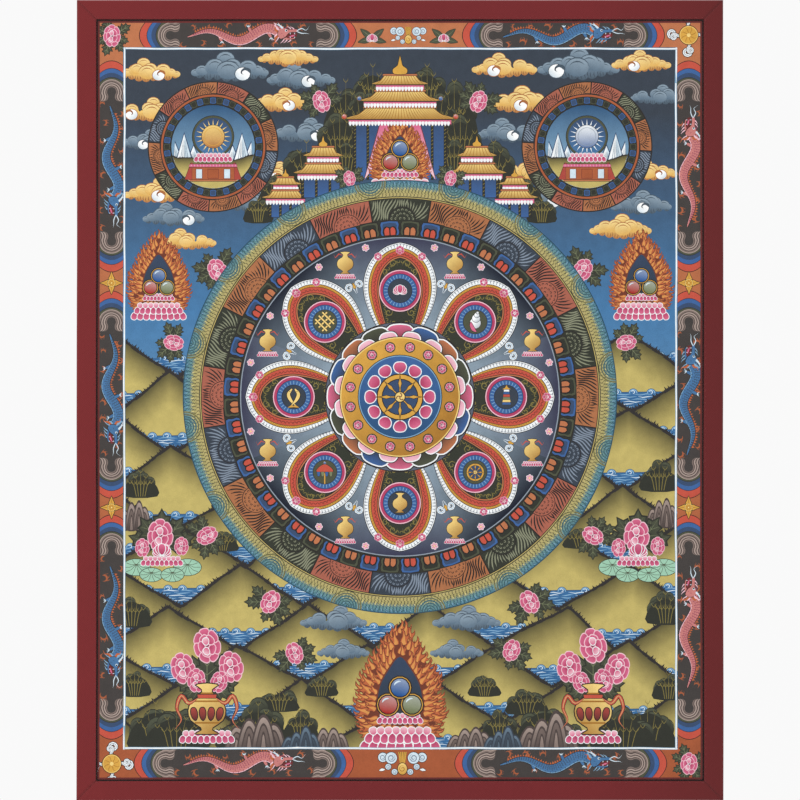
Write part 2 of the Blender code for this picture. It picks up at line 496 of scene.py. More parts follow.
def cloud(kind, dice, width=46, curls=1):
    # a few large lobes, soft dark arcs within their rims, over a row of hanging lobes
    lit, body, deep, line = cloudTones[kind]
    stamp, lean = [], dice.uniform(-0.14, 0.14)
    for s in dice.permutation(np.linspace(-0.42, 0.42, 8)):
        radius = width * (0.085 - 0.06 * abs(s)) * dice.uniform(0.85, 1.15)
        at = np.array([s, 0.07 * abs(s) - 0.035]) * width
        stamp += dab(circle(radius, 12) * (1, 1.15) + at, graded(
            body, deep, at + (0, radius * 0.3), at - (0, radius * 1.2)))
        for side in (-0.45, 0.1, 0.55):
            foot = at + (side * radius, -radius * 1.05 * math.sqrt(1 - side * side))
            stamp += stroke([foot, foot + (radius * 0.16, radius * 0.5), foot + (radius * 0.12, radius)],
                            radius * 0.16, line, 0.1, 0.7)
    for x, y, size in ((-0.46, 0.0, 0.06), (0.46, 0.0, 0.06), (-0.36, 0.03, 0.085), (0.37, 0.03, 0.08),
                       (lean, 0.18, 0.115), (-0.23, 0.07, 0.11), (0.25, 0.065, 0.105),
                       (lean - 0.11, 0.09, 0.12), (lean + 0.12, 0.085, 0.115), (lean * 0.5, 0.03, 0.14)):
        at = np.array([x + dice.uniform(-0.02, 0.02), y]) * width
        stamp += puff(at, size * width * dice.uniform(0.92, 1.1), lit, body, deep)
    for x in {0: (), 1: (dice.uniform(-0.26, 0.3),), 2: (-0.3, 0.28)}[curls]:
        at, size = np.array([x, -0.015]) * width, width * 0.085
        stamp += dab(circle(size * 1.12, 14) * (1.15, 1) + at, deep)
        stamp += dab(circle(size, 16) * (1.15, 1) + at, graded(
            "white", "paleSky", at + (size * 0.3, 0), at + (size * 1.6, -size * 1.6)))
        tail = np.array([(-1.3, 0.1), (-0.95, 0.62), (-0.35, 0.78), (0.12, 0.46), (0.14, 0.08),
                         (-0.14, -0.06)])
        stamp += stroke(smooth(tail, 3, False) * size + at, size * 0.5, deep, 0.1, 0.75)
        stamp += stroke(smooth(tail[2:], 3, False) * size + at, size * 0.24, line, 0.5, 0.5)
    return stamp


def tongue():  # a curling tongue of flame, its root at the origin, 10 mm high
    outline = smooth([(-1.9, -0.4), (-2.3, 2.4), (-0.9, 4.9), (-0.5, 7.4), (-1.3, 9.8), (1.3, 7.9),
                      (1.5, 5.2), (2.9, 5.6), (3.7, 7.4), (3.9, 4.2), (2.4, 2.0), (2.0, -0.4)], 3)
    inner = smooth([(-1.1, 0), (-1.2, 2.3), (0.1, 4.8), (0.4, 6.8), (0.9, 4.9), (0.9, 2.2),
                    (1.1, 0)], 3)
    return edged(outline, "flame", "rustDeep", 0.45) + dab(inner, "flameLit")


def wisp():  # a loose hook of flame, 8 mm long
    hook = np.concatenate([arc(2.3, 250, 20, 7), [(1.4, 3.0), (0.3, 4.6)]])
    stamp = stroke(hook, 1.6, "ember", 0.35, 0.5) + stroke(hook[1:7], 0.4, "flame")
    stamp += stroke([(-2.1, -0.2), (-3.3, 1.0), (-3.9, 2.8)], 1.1, "ember", 0, 0.8)
    return stamp + stroke([(-1.6, 1.6), (-1.9, 3.0), (-1.3, 4.4)], 0.9, "ember", 0, 0.8)


def aura(width, height, dice):  # a pointed halo of flame, its foot at the origin
    half = np.array([(0.01, 0), (0.36, 0.03), (0.5, 0.24), (0.45, 0.54), (0.25, 0.8), (0, 1.0)])
    rim = smooth(mirrored(half * (width, height)), 4)
    centre = np.array([0, height * 0.4])
    stamp = []
    for share, size in ((1.0, 0.8), (0.86, 0.95), (0.7, 0.8)):
        path = (rim - centre) * share + centre
        stamp += dab(path * 0.97 + centre * 0.03, "rustDeep")
        legs = np.linalg.norm(np.diff(path, axis=0, append=path[:1]), axis=1).cumsum()
        roots = [path[min(int(np.searchsorted(legs, d)), len(path) - 1)]
                 for d in np.arange(0, legs[-1], 0.11 * width * size)]
        for at in sorted(roots, key=lambda p: -p[1]):
            if at[1] < height * 0.06:
                continue
            way = (at - centre) / np.linalg.norm(at - centre) + (0, 0.9)
            turn = math.degrees(math.atan2(way[1], way[0])) - 90 + dice.uniform(-14, 14)
            stamp += placed(tongue(), at - way * 1.4, turn,
                            size * width / 44 * dice.uniform(0.8, 1.1), flip=bool(at[0] < 0))
    return stamp + dab((rim - centre) * 0.6 + centre, "rustDeep") + dab(
        (rim - centre) * 0.565 + centre, graded("leafDeep", "indigo", (0, 0), (0, height)))


def gem(radius, name="azure"):
    stamp = edged(circle(radius * 1.2, 14), "gold", "ink", radius * 0.12)
    stamp += discs(14, (radius, "ink"), (radius * 0.88, graded(
        name, "white", (0, -radius * 0.5), (radius, radius * 4.5))))
    return stamp + stroke(arc(radius * 0.62, 160, 80, 6), radius * 0.16, "pearl")


def jewelHeap(size):  # three gems on a lotus
    stamp = placed(lotusSeat(size * 1.5), (0, -size * 0.2))
    for at, name in (((-0.42, 0.12), "red"), ((0.42, 0.12), "leafLit"), ((0, 0.72), "azure")):
        stamp += placed(gem(size * 0.36, name), np.array(at) * size)
    return stamp


def shrub(width, height, dice):  # a dark rounded bush with pale twigs
    stamp = []
    for s in range(11):
        s = dice.uniform(-1, 1)
        at = (s * width * 0.36, height * (0.25 + 0.45 * dice.random() * (1 - abs(s) * 0.7)))
        stamp += puff(at, width * dice.uniform(0.14, 0.2), "moss", "leafDeep", "leafDeep", 1.15)
    mound = np.array([(-0.5, 0), (-0.42, 0.4), (0, 0.62), (0.42, 0.4), (0.5, 0)]) * (width, height)
    stamp += dab(smooth(mound, 3), "leafDeep")
    for s in np.linspace(-0.8, 0.8, 5):
        top = np.array([s * width * 0.4, height * (0.82 - 0.4 * abs(s))])
        stem = np.array([(s * width * 0.16, 0), (s * width * 0.26, height * 0.35), top])
        twigs = [smooth(stem, 3, False)]
        for side in (-1, 1):
            twigs += [[stem[1], stem[1] + (side * 1.5, 1.6), stem[1] + (side * 1.9, 3.4)],
                      [top - (0, 2.4), top + (side * 1.3, -0.9), top + (side * 1.6, 0.5)]]
        for twig, thickness in zip(twigs, (0.45, 0.35, 0.35, 0.35, 0.35)):
            stamp += stroke(twig, thickness, "olive", 0, 0.5)
    return stamp


def rock(width, height, dice, deep="stoneDeep", body="stone", lit="stoneLit"):
    stamp = []
    for i, s in enumerate((-0.36, 0.36, -0.12, 0.16)):
        w, h = width * 0.42, height * (0.62 + 0.13 * i) * dice.uniform(0.9, 1.05)
        for share, *tones in ((1, deep, deep), (0.88, deep, lit), (0.66, deep, deep),
                              (0.56, deep, body), (0.34, deep, deep), (0.22, body, lit)):
            xs = s * width + w * share * np.array([-0.5, -0.42, -0.12, 0.2, 0.46, 0.5])
            ys = h * np.array([0, 0.6 * share, 0.3 + 0.7 * share, 0.26 + 0.7 * share, 0.55 * share, 0])
            stamp += dab(smooth(np.column_stack([xs, ys]), 3), graded(*tones, (0, 0), (0, h)))
    return stamp


def sector(inner, outer, start, end, steps=6):
    return np.concatenate([arc(outer, start, end, steps),
                           arc(inner, end, start, steps)])


def scrollPanel(inner, outer, width, fill, line):
    # one panel of the ring round a mandala: a dome of small scrolls between flowing stripes
    depth, half = outer - inner, math.radians(width / 2) * inner
    gap, radius, hub = 0.8 + depth * 0.068, depth * 0.6, half * 0.08

    def at(u, v):  # along the foot of the panel and up from it
        return np.column_stack([(inner + v) * np.sin(u / inner), (inner + v) * np.cos(u / inner)])

    rim = math.degrees(0.35 / inner)
    stamp = dab(sector(inner, outer, 90 - width / 2, 90 + width / 2), "ink")
    stamp += dab(sector(inner + 0.3, outer - 0.3, 90 - width / 2 + rim, 90 + width / 2 - rim), fill)
    v = np.linspace(0.04, 0.96, 9) * depth
    for root in np.arange(-half - depth * 0.3, hub - radius * 0.1, gap):
        u = root + 0.36 * v + gap * 0.55 * np.sin(5.5 * v / depth + root * 0.4)
        keep = (np.abs(u) < half - 0.6) & (np.hypot(u - hub, v) > radius)
        if keep.sum() > 1:
            stamp += stroke(at(u[keep], v[keep]), gap * 0.5, line, 0.12, 0.12)
    reach = np.linspace(radius, radius + depth * 2.4, 14)
    for angle in np.arange(66, -50, -math.degrees(gap / radius) * 0.82):
        way = math.radians(angle) + 0.62 * (reach - radius) / depth
        u, v = hub + reach * np.cos(way), reach * np.sin(way)
        keep = (u < half - 0.6) & (v < depth * 0.96) & (v > 0.4)
        if keep.sum() > 1:
            stamp += stroke(at(u[keep], v[keep]), gap * 0.5, line, 0.05, 0.15)
    turns = np.radians(np.linspace(0, 180, 15))
    for size, paint in ((radius + 0.3, "ink"), (radius - 0.15, fill)):
        stamp += dab(at(hub + size * np.cos(turns), size * np.sin(turns)), paint)
    curl = stroke(arc(0.62, 215, -60, 7), 0.42, line, 0, 0.2)
    for share, count in ((0.8, 9), (0.5, 6), (0.2, 2)):
        for way in np.radians(np.linspace(90 / count, 180 - 90 / count, count)):
            spot = at(hub + radius * share * math.cos(way), radius * share * math.sin(way))
            stamp += placed(curl, spot[0], math.degrees(way) - 90, 0.45 + depth / 26)
    return stamp


scrollTones = [("mossDeep", "sage"), ("brick", "ink"), ("nightSky", "steel"), ("clay", "ink")]


def scrollRing(inner, outer, panels, turn=0.0, colours=scrollTones):
    stamp, step = [], 360 / panels
    for i, tones in enumerate(colours):
        stamp += ring(scrollPanel(inner, outer, step, *tones), panels // len(colours), 0,
                      turn + i * step)
    return stamp


def tile(size, ground, edge, mark=None):  # a rounded tile, with a pair of petals or plain
    square = smooth(np.array([(-0.46, -0.5), (0.46, -0.5), (0.5, 0), (0.46, 0.5), (-0.46, 0.5),
                              (-0.5, 0)]) * size, 2)
    stamp = edged(square, ground, "ink", size * 0.05) + dab(square * 0.72, edge)
    half = np.array([(0.035, -0.44), (0.28, -0.44), (0.3, -0.16), (0.26, 0.0), (0.16, 0.1), (0.06, 0.04),
                     (0.035, -0.06)]) * size
    if mark:
        stamp += dab(smooth(np.array([(-0.33, -0.48), (0.33, -0.48), (0.35, 0.0), (0.19, 0.17), (0, 0.1),
                                      (-0.19, 0.17), (-0.35, 0.0)]) * size, 2), "ink")
        stamp += dab(half, mark) + dab(half[::-1] * (-1, 1), mark)
    return stamp


def tileRing(inner, outer, count, turn=0.0, marks=("vermilion", "orange")):
    size = (outer - inner) * 0.9
    wide = 2 * math.pi * (inner + outer) / 2 / count * 0.92
    stamp = dab(circle(outer, 96), "leafDeep")
    for i, colours in enumerate((("azure", "indigo", marks[0]), ("leaf", "leafDeep", marks[1]))):
        stamp += ring(squashed(tile(size, *colours), wide / size, 1), count // 2,
                      (inner + outer) / 2, turn + i * 360 / count)
    return stamp


def hillside(ridge, foot, tones, shadow=17.0):
    # ground that is dark under its ridge and pales downwards, with grass on the ridge
    near, far = tones
    ridge = np.asarray(ridge, float)
    change = flat(far)[0] - flat(near)[0]
    stamp = dab(np.concatenate([ridge - (0, shadow * 0.98), [(ridge[-1][0], foot), (ridge[0][0], foot)]]),
                flat(far))
    for (xa, ya), (xb, yb) in zip(ridge[:-1], ridge[1:]):
        slope = (yb - ya) / (xb - xa)
        paint = flat(near)
        paint[0] += change * (ya - slope * xa) / shadow
        paint[1], paint[2] = change * slope / shadow, -change / shadow
        stamp += dab([(xa, ya - shadow), (xb, yb - shadow), (xb, yb), (xa, ya)], paint)
    size = shadow / 24
    tuft = dab(np.array([(-1.5, -0.9), (-1.0, 1.0), (-0.5, 0.5), (0.0, 2.3), (0.6, 0.6), (1.0, 1.3),
                         (1.5, -0.9)]) * size, "soot")
    return stamp + stroke(ridge, 1.5 * size, "soot", 0.02, 0.02) + along(ridge, tuft, 2.3 * size, 0.4)


def water(left, right, top, depth, dice):  # a reach of water between two hillsides
    pool = np.array([(left, top - 2), (left + 5, top - 0.6), (right - 5, top), (right, top - 1.6),
                     (right - 4, top - depth), (left + 4, top - depth)])
    stamp = dab(shrink(pool, -0.5), "lakeDeep") + dab(pool, graded(
        "lake", "lakeDeep", (0, top), (0, top - depth * 1.3)))
    for y in np.arange(top - 1.5, top - depth, -1.6):
        x = left + 2 + dice.uniform(0, 3)
        while x < right - 5:
            span = min(dice.uniform(7, 15), right - 2 - x)
            xs = np.linspace(x, x + span, 4)
            stamp += stroke(np.column_stack([xs, y + 0.4 * np.sin(xs * 0.6 + y)]), 0.6,
                            "pearl" if dice.random() < 0.35 else "skyLine", 0.3, 0.3)
            x += span + dice.uniform(0.6, 2.5)
    for x in np.arange(left + 5, right - 3, dice.uniform(9, 13)):
        at = np.array([x + dice.uniform(-2, 2), top - 0.8])
        for r, name in ((3.3, "lakeDeep"), (2.9, "skyLine"), (2.2, "lake")):
            stamp += dab(arc(r, 0, 180, 8, at), name)
        stamp += stroke(spiral(at + (0, 0.6), 1.5, 0.3, 150, -0.9, 7), 0.6, "pearl", 0, 0.4)
    return stamp


def taperedBody(spine, radii, paint):
    along = np.gradient(spine, axis=0)
    across = np.column_stack([-along[:, 1], along[:, 0]])
    across *= (radii / np.linalg.norm(across, axis=1))[:, None]
    left, right = spine + across, spine - across
    return dab(np.concatenate([left, right[::-1]]), paint), left, right


def dragon(hide, dark, pale):  # tail at -40, head at +34, for a panel 18 mm deep
    t = np.linspace(0, 1, 44)
    spine = np.column_stack([62 * t - 40, 5.0 * np.sin(2 * math.pi * (1.55 * t - 0.08))
                             * (0.45 + 0.55 * t)])
    radii = 0.25 + 3.0 * np.sin(np.minimum(t * 1.15, 1) * math.pi / 2)
    spike = dab([(-0.8, -0.3), (0.2, 1.5), (0.9, -0.3)], "flame")
    outer, left, right = taperedBody(spine, radii + 0.45, "ink")
    stamp = along(left[4:], spike, 1.7, 0.3) + outer
    for at, x, y in ((14, 2.5, -5.5), (16, 5.5, -4.0), (30, -3.0, 5.5), (36, 3.5, -6.0)):
        foot = spine[at] + (x, y)
        leg = smooth([spine[at], spine[at] + (x * 0.55, y * 0.55), foot], 3, False)
        stamp += strokes(leg, ((2.5, "ink"), (1.8, hide)), 0, 0.1)
        for spread in (-1.3, 0, 1.3):
            claw = [foot, foot + (spread * 0.6, y * 0.1), foot + (spread, y * 0.26)]
            stamp += stroke(claw, 0.6, "pearl", 0, 0.6)
    body, left, right = taperedBody(spine, radii, hide)
    stamp += body + dab(np.concatenate([spine * 0.15 + right * 0.85, right[::-1]]), pale)
    for i in range(3, 42):
        across, back = left[i] - right[i], spine[i] - spine[i - 1]
        for share in (0.4, 0.62, 0.84):
            at = right[i] + across * (share + 0.1 * (i % 2))
            stamp += stroke([at - across * 0.09, at - back * 0.5, at + across * 0.09], 0.38, dark, 0, 0)
        if i % 2:
            stamp += stroke([right[i] + across * 0.2, right[i] + across * 0.02], 0.32, dark, 0, 0)
    for row, bend in enumerate((5.0, 3.4, -3.6, -5.0)):  # the mane
        root = np.array([21.0, 2.0 + (1 - row) * 0.7])
        lock = [root, root + (-2.8, bend * 0.5), root + (-3.0, bend), root + (-5.4, bend * 1.25)]
        stamp += stroke(smooth(lock, 3, False), 1.5, "flame" if row % 2 else pale, 0, 0.7)
    jaw = smooth([(24.2, -1.4), (27.4, -0.8), (31.0, -1.4), (31.6, -2.4), (27.2, -3.2), (23, -2.8)], 3)
    mouth = smooth([(25.4, 0.6), (31.4, 1.6), (32.6, 0.4), (31.0, -1.6), (26, -1.8)], 3)
    skull = smooth([(19.5, 0.2), (20.5, 4.4), (24, 5.4), (27, 4.2), (31.5, 4.6), (33.4, 3.4),
                    (32.6, 1.9), (27.6, 1.5), (25.0, -1.2), (21.5, -2.6)], 3)
    stamp += edged(jaw, hide, "ink", 0.4) + dab(mouth, "maroon") + edged(skull, hide, "ink", 0.4)
    stamp += stroke([(27, -0.9), (29.4, -0.4), (31.4, 0.5)], 1.1, "rose")
    for x in (28.0, 30.9):
        for root, tip in ((1.7, 0.5), (-1.6, -0.6)):
            stamp += dab([(x - 0.35, root), (x + 0.35, root), (x, tip)], "pearl")
    for x, y, reach in ((24, -2.6, -2.6), (26, -2.9, -2.2), (28.5, -3.0, -1.6), (30.5, 4.2, 1.6),
                        (28.4, 4.3, 1.8), (22.4, 4.6, 2.8), (20.6, 3.4, 3.2), (20.4, -1.2, -3.4)):
        stamp += stroke([(x, y), (x - 1.2, y + reach * 0.6), (x - 2.6, y + reach)], 0.8, pale, 0, 0.8)
    for x, y in ((29.6, 3.7), (31.6, 3.8), (22.4, 1.2), (23.6, -0.6)):
        stamp += stroke([(x - 0.6, y), (x, y + 0.35), (x + 0.5, y - 0.1)], 0.4, dark)
    stamp += discs(10, (0.85, "pearl"), at=(25.3, 3.3)) + discs(8, (0.55, "ink"), at=(25.5, 3.3))
    stamp += stroke([(23.8, 4.6), (25.4, 5.1), (27, 4.5)], 0.7, dark)
    for tip in ((17.5, 8.0), (19.6, 8.6)):
        stamp += stroke(smooth([(23.2, 4.8), (21.2, 6.4), tip], 3, False), 1.1, "pearl", 0, 0.6)
    for side in (1, -1):
        curl = [(32, 2.8), (35.5, 3.0 + side * 1.6), (38.5, 2.4 + side * 1.0), (40.6, 3.4 + side * 2.6)]
        stamp += stroke(smooth(curl, 3, False), 0.6, "pearl", 0.1, 0.7)
    return stamp


def bandPanel(half, hide, flip, dice):  # from red arc to red arc, along x
    deep, dark, stamp = 10.0, half - 27.0, []
    for inset, name in ((0, "ink"), (0.5, "vermilion"), (5.0, "soot"), (5.4, "azure"),
                        (8.2, "indigo"), (11.0, "soot"), (11.4, "leaf"), (14.2, "soot"),
                        (14.7, "stone")):
        y = np.linspace(-deep, deep, 11)
        x = half - inset - 4.4 * (y / 9) ** 2
        stamp += dab(np.concatenate([np.column_stack([x, y]), np.column_stack([-x, -y])]), name)
    for end in (-1, 1):
        for k, name in ((4.5, "stoneLit"), (4, "stone"), (3.3, "stoneDeep"), (2.8, "stoneLit"),
                        (2.1, "stoneDeep"), (1.6, "stoneLit"), (0.9, "stoneDeep"), (0.5, "stone"),
                        (0, "charcoal")):
            omega = [(dark - 4, 6.4 + k), (dark - 0.6, 5.2 + k), (dark + 1.0, 2.8 + 1.4 * k),
                     (dark + 3.4, 2.2 + 1.4 * k), (dark + 5.8, 3.0 + 1.35 * k),
                     (dark + 8.2 + 0.7 * k, 2.4 + 0.95 * k), (dark + 9.2 + 1.1 * k, 0.8 + 0.35 * k)]
            whole = np.concatenate([omega, (omega * np.array([1, -1]))[::-1]])
            stamp += dab(smooth(whole, 3) * (end, 1), name)
    stamp += dab([(-dark + 2.6, -deep), (dark - 2.6, -deep), (dark, -7.4), (dark, 7.4),
                  (dark - 2.6, deep), (-dark + 2.6, deep), (-dark, 7.4), (-dark, -7.4)], "charcoal")
    for i, x in enumerate(np.linspace(2.5 - dark, dark - 2.5, 15)):
        stamp += placed(wisp(), (x, (5.6 if i % 2 else -5.6) + dice.uniform(-0.8, 0.8)),
                        dice.uniform(0, 360), dice.uniform(0.62, 0.9), flip=dice.random() < 0.5)
    colours = {"blue": ("dragonBlue", "nightSky", "paleSky"),
               "pink": ("dragonPink", "plum", "blush")}[hide]
    return stamp + placed(dragon(*colours), size=min(1.0, (dark + 2) / 42), flip=flip)


def scrollCurl(size=1.0):  # a white scroll, its root at the origin, curling to the right
    line = np.concatenate([[(0, 0), (0.2, 1.8)], spiral((1.9, 3.2), 2.0, 0.4, 190, -1.35, 14)])
    return strokes(line * size, ((1.9 * size, "soot"), (1.25 * size, "white"), (0.3 * size, "ash")),
                   0, 0.3)


def goldDisc(radius):
    blade = stroke([(radius * 0.15, 0), (radius * 0.6, radius * 0.16), (radius * 0.85, radius * 0.5)],
                   0.35, "goldDeep", 0, 0.2)
    stamp = edged(circle(radius, 20), "gold", "ink", 0.4) + ring(blade, 8)
    stamp += discs(10, (radius * 0.2, "goldLit"))
    return stamp + stroke(arc(radius * 0.88, 0, 360, 20), 0.3, "goldLit", 0, 0)


def cornerDisc():
    stamp = []
    for turn in (0, 90, 180, 270):
        for size, radius, lag, lean in ((1.5, 5.6, 0, 20), (1.1, 5.8, 8, -25)):
            way = math.radians(turn + lag)
            at = (-radius * math.sin(way), radius * math.cos(way))
            stamp += placed(scrollCurl(size), at, turn + lean, flip=lean < 0)
    return stamp + goldDisc(6.6)


def cornerPeony():
    return peonySpray(6.0, (20, 62, 115, 160, 215, 250, 300), 12)


def blockOrnament(kind):  # the middle of an orange block, 18 mm deep
    if kind == "cross":
        arm = edged(smooth([(0, 0), (2.3, 2.4), (1.3, 5.0), (0, 8.0), (-1.3, 5.0), (-2.3, 2.4)], 3),
                    "gold", "ink", 0.4) + stroke([(0, 1), (0, 4), (0, 6.5)], 0.4, "goldDeep")
        return ring(arm, 4) + goldDisc(2.8)
    stamp = []
    for x, y, radius in ((13.0, 4.0, 3.5), (7.4, 3.6, 4.2), (9.4, -2.2, 2.3), (5.2, -5.6, 2.3)):
        roll = edged(circle(radius, 16), "pearl", "soot", 0.4) + stroke(
            spiral((0, 0), radius * 0.7, radius * 0.16, 100, 1.7, 14), radius * 0.17, "steel", 0.2, 0.2)
        stamp += placed(roll, (x, y)) + placed(roll, (-x, y), flip=True)
    leafTip = edged(smooth([(0, 0), (2.2, 1.5), (4.6, 0.2), (2.2, -0.9)], 2), "white", "soot", 0.3)
    stamp += placed(leafTip, (11.2, -4.0), -12) + placed(leafTip, (-11.2, -4.0), 12, flip=True)
    for x in (-2.4, -1.2, 0, 1.2, 2.4):
        stamp += strokes([(x, 7.6), (x * 0.8, 4.0), (x * 0.55, 0)], ((1.1, "ink"), (0.8, "gold")), 0, 0)
    bud = circle(3.9, 16) * (0.9, 1.1) + (0, -3.6)
    return stamp + edged(bud, graded("goldLit", "gold", (0, 1), (0, -7)), "ink", 0.45) + stroke(
        spiral((0, -3.6), 2.4, 0.5, 60, 1.4, 12), 0.5, "goldDeep")


def sprig():  # a small pink lotus between four green leaves
    stamp = []
    for turn, size in ((-104, 1.05), (104, 1.05), (-50, 1.1), (50, 1.1)):
        stamp += placed(blade(9.4, 4.0), (0, -2.2), turn, size)
    return stamp + placed(lotus(10.0), (0, -3.6))


def paintBand():
    dice = np.random.default_rng(11)
    stamp = gridOf(*wholeFace, graded("orange", "orangeDeep", (0, 253), (0, -253)))
    for at, turn, half, hide, flip in bandPanels:
        stamp += placed(bandPanel(half, hide, flip, dice), at, turn)
    for at, turn, kind, size in bandBlocks:
        stamp += placed(sprig() if kind == "sprig" else blockOrnament(kind), at, turn, size)
    for piece, *places in ((cornerPeony(), (-191, 241.5), (191.5, -241)),
                           (cornerDisc(), (191.5, 242), (-191, -241))):
        for at in places:
            stamp += placed(piece, at)
    x, y = paintedHalf
    margin = 0.9                          # the dark line ruled just inside the piping
    for xs, ys in (((-x - 3, x + 3), (y - margin, y + 4)), ((-x - 3, x + 3), (-y - 4, margin - y)),
                   ((-x - 3, margin - x), (-y, y)), ((x - margin, x + 3), (-y, y))):
        stamp += gridOf(xs, ys, flat("maroon"))
    return stamp


# Measured along the band: centre, turn, half length from red arc to red arc, dragon, mirrored
bandPanels = [
    ((-100.8, 241.8), 0, 72.3, "pink", False), ((108.4, 241.8), 0, 67.3, "blue", False),
    ((-103.5, -240.8), 0, 73.0, "pink", False), ((106.5, -240.8), 0, 70.5, "blue", False),
    ((-191.3, 154.9), -90, 70.3, "blue", False), ((-191.3, 3.6), -90, 69.0, "blue", False),
    ((-191.3, -150.5), -90, 74.6, "blue", False), ((191.5, 154.9), -90, 70.3, "pink", True),
    ((191.5, 3.6), -90, 69.0, "blue", True), ((191.5, -150.5), -90, 74.6, "pink", True),
]
bandBlocks = [
    ((5.5, 241.8), 0, "scrolls", 0.74), ((-18.5, 241.8), 0, "sprig", 1), ((29, 241.8), 0, "sprig", 1),
    ((1.6, -240.8), 0, "scrolls", 1), ((-191.3, 77.6), 90, "cross", 1),
    ((-191.3, -71.3), 90, "cross", 1), ((191.5, 77.6), 90, "cross", 1),
    ((191.5, -71.3), 90, "cross", 1),
]


wholeFace = np.linspace(-202, 202, 27), np.linspace(-253, 253, 33)


def gridOf(xs, ys, paint):  # a priming of square dabs that can follow the waves
    return [(np.array([(a, c), (b, c), (b, d), (a, d)]), paint)
            for c, d in zip(ys[:-1], ys[1:]) for a, b in zip(xs[:-1], xs[1:])]


def medallion(radius, kind):
    # a little landscape with the sun or the moon on an altar, in a scroll ring
    order = [scrollTones[i] for i in (3, 1, 2, 3, 0, 1)]
    stamp = discs(64, (radius + 0.5, "soot")) + scrollRing(radius * 0.82, radius, 12, 11, order)
    stamp += discs(64, (radius * 0.82, "soot"), (radius * 0.805, "rust"), (radius * 0.775, "soot"))
    stamp += tileRing(radius * 0.66, radius * 0.765, 44, 0, (None, None))
    inner = radius * 0.655
    stamp += discs(48, (inner, "ink"), (inner - 0.5, graded(
        "lakeDeep", "paleSky", (0, inner), (0, -inner * 0.45))))
    scape, foot = [], -0.4
    for side in (-1, 1):
        for x, tall, w in ((0.9, 0.5, 0.24), (0.46, 0.42, 0.2), (0.68, 0.7, 0.24)):
            x, peak = side * x, np.array([side * x, foot + tall])
            for low, high, lift, name in ((-w, w, 0.05, "indigo"), (-w * 0.84, w * 0.84, 0, "white"),
                                          (0, w * 0.84, 0, "pearl")):
                scape += dab(np.array([(x + low, foot), (x + high, foot), peak + (0, lift)]) * inner, name)
            for s in (-0.55, -0.25, 0.05, 0.3, 0.6):
                scape += stroke(np.array([peak - (-s * 0.04, 0.14), peak + (s * w * 0.45, -tall * 0.6),
                                          (x + s * w * 0.8, foot)]) * inner, 0.35, "cloudGrey", 0.3, 0)
    ground = [(s * inner, (-0.32 + 0.12 * abs(s) ** 2 + 0.03 * math.sin(9 * s)) * inner)
              for s in np.linspace(-1, 1, 13)]
    scape += dab(arc(inner - 0.6, 200, 340, 20), "straw")
    stamp += clipped(scape + hillside(ground, -inner, ("oliveDeep", "straw"), 9.0), inner - 0.5)
    glow = np.array([0, inner * 0.24])
    names = ("cloudGoldDeep", "goldLit", "gold") if kind == "sun" else ("azure", "white", "ash")
    stamp += edged(circle(inner * 0.5, 32, glow), "leaf", "ink", 0.4)
    stamp += discs(32, (inner * 0.44, graded(
        "indigo", "dragonBlue", glow + (0, inner * 0.4), glow - (0, inner * 0.4))), at=glow)
    ray = dab([(-0.4, 0), (0.4, 0), (0, inner * 0.13)], names[1])
    stamp += placed(ring(ray, 20, inner * 0.28), glow)
    stamp += edged(circle(inner * 0.28, 28, glow), graded(
        names[1], names[0], glow + (0, inner * 0.3), glow - (0, inner * 0.3)), "ink", 0.35)
    stamp += stroke(arc(inner * 0.21, 0, 360, 24, glow), 0.35, names[2], 0, 0)
    stamp += placed(lotusSeat(inner * 0.84), (0, -inner * 0.16))
    w, top, foot = inner * 0.5, -inner * 0.4, -inner * 0.8
    for side in (-1, 1):  # folded hangings each side of the altar
        fold = np.array([(w * 0.9, foot), (w * 1.35, foot + 1), (w * 1.05, top + 1), (w * 0.9, top)])
        stamp += edged(fold * (side, 1), "red", "ink", 0.3)
    stamp += edged(block(w, foot, top), "rust", "ink", 0.4)
    stamp += edged(block(w * 1.14, top - 2.4, top, w * 1.1), "rose", "ink", 0.35)
    for x in np.linspace(-w * 1.04, w * 1.04, 15):
        stamp += stroke([(x, top - 0.3), (x + 0.2, top - 1.2), (x, top - 2.0)], 0.35, "blush")
    for x, wide, name in ((-0.66, 0.16, "pearl"), (0.66, 0.16, "pearl"), (0, 0.26, "orangeDeep")):
        panel = block(wide * w, foot + 1.4, top - 3.4, at=x * w)
        stamp += edged(panel, name, "maroon", 0.4)
    return stamp + edged(block(w * 1.1, foot - 0.6, foot + 0.8), "orange", "ink", 0.3)


def clipped(stamp, radius):  # what lies over the edge of a disc is drawn back to it
    result = []
    for outline, paint in stamp:
        far = np.hypot(*outline.T)
        if far.min() < radius:
            outline = outline * np.minimum(1, radius / np.maximum(far, 1e-9))[:, None]
            result.append((outline, paint))
    return result


def vase(size, patterned=True):  # a gold vase, its foot at the origin, about 1.25 sizes high
    half = [(0.22, 0), (0.26, 0.04), (0.16, 0.1), (0.14, 0.14), (0.36, 0.3), (0.42, 0.52),
            (0.34, 0.72), (0.16, 0.84), (0.13, 0.96), (0.26, 1.05), (0.2, 1.1), (0.01, 1.12)]
    outline = smooth(mirrored(np.array(half) * size), 2)
    stamp = edged(outline, graded("goldLit", "goldDeep", (-size * 0.3, size * 0.8),
                                  (size * 0.4, size * 0.1)), "ink", size * 0.025)
    if patterned:
        for y, w in ((0.24, 0.26), (0.7, 0.34), (0.87, 0.13)):
            stamp += dab(np.array(block(w, y, y + 0.035)) * size, "goldDeep")
        leafMark = petal(size * 0.17, size * 0.3, "ink", "red", "maroon", size * 0.02)
        for x in (-0.24, -0.08, 0.08, 0.24):
            stamp += placed(leafMark, (x * size, size * 0.3), -x * 50)
    return stamp


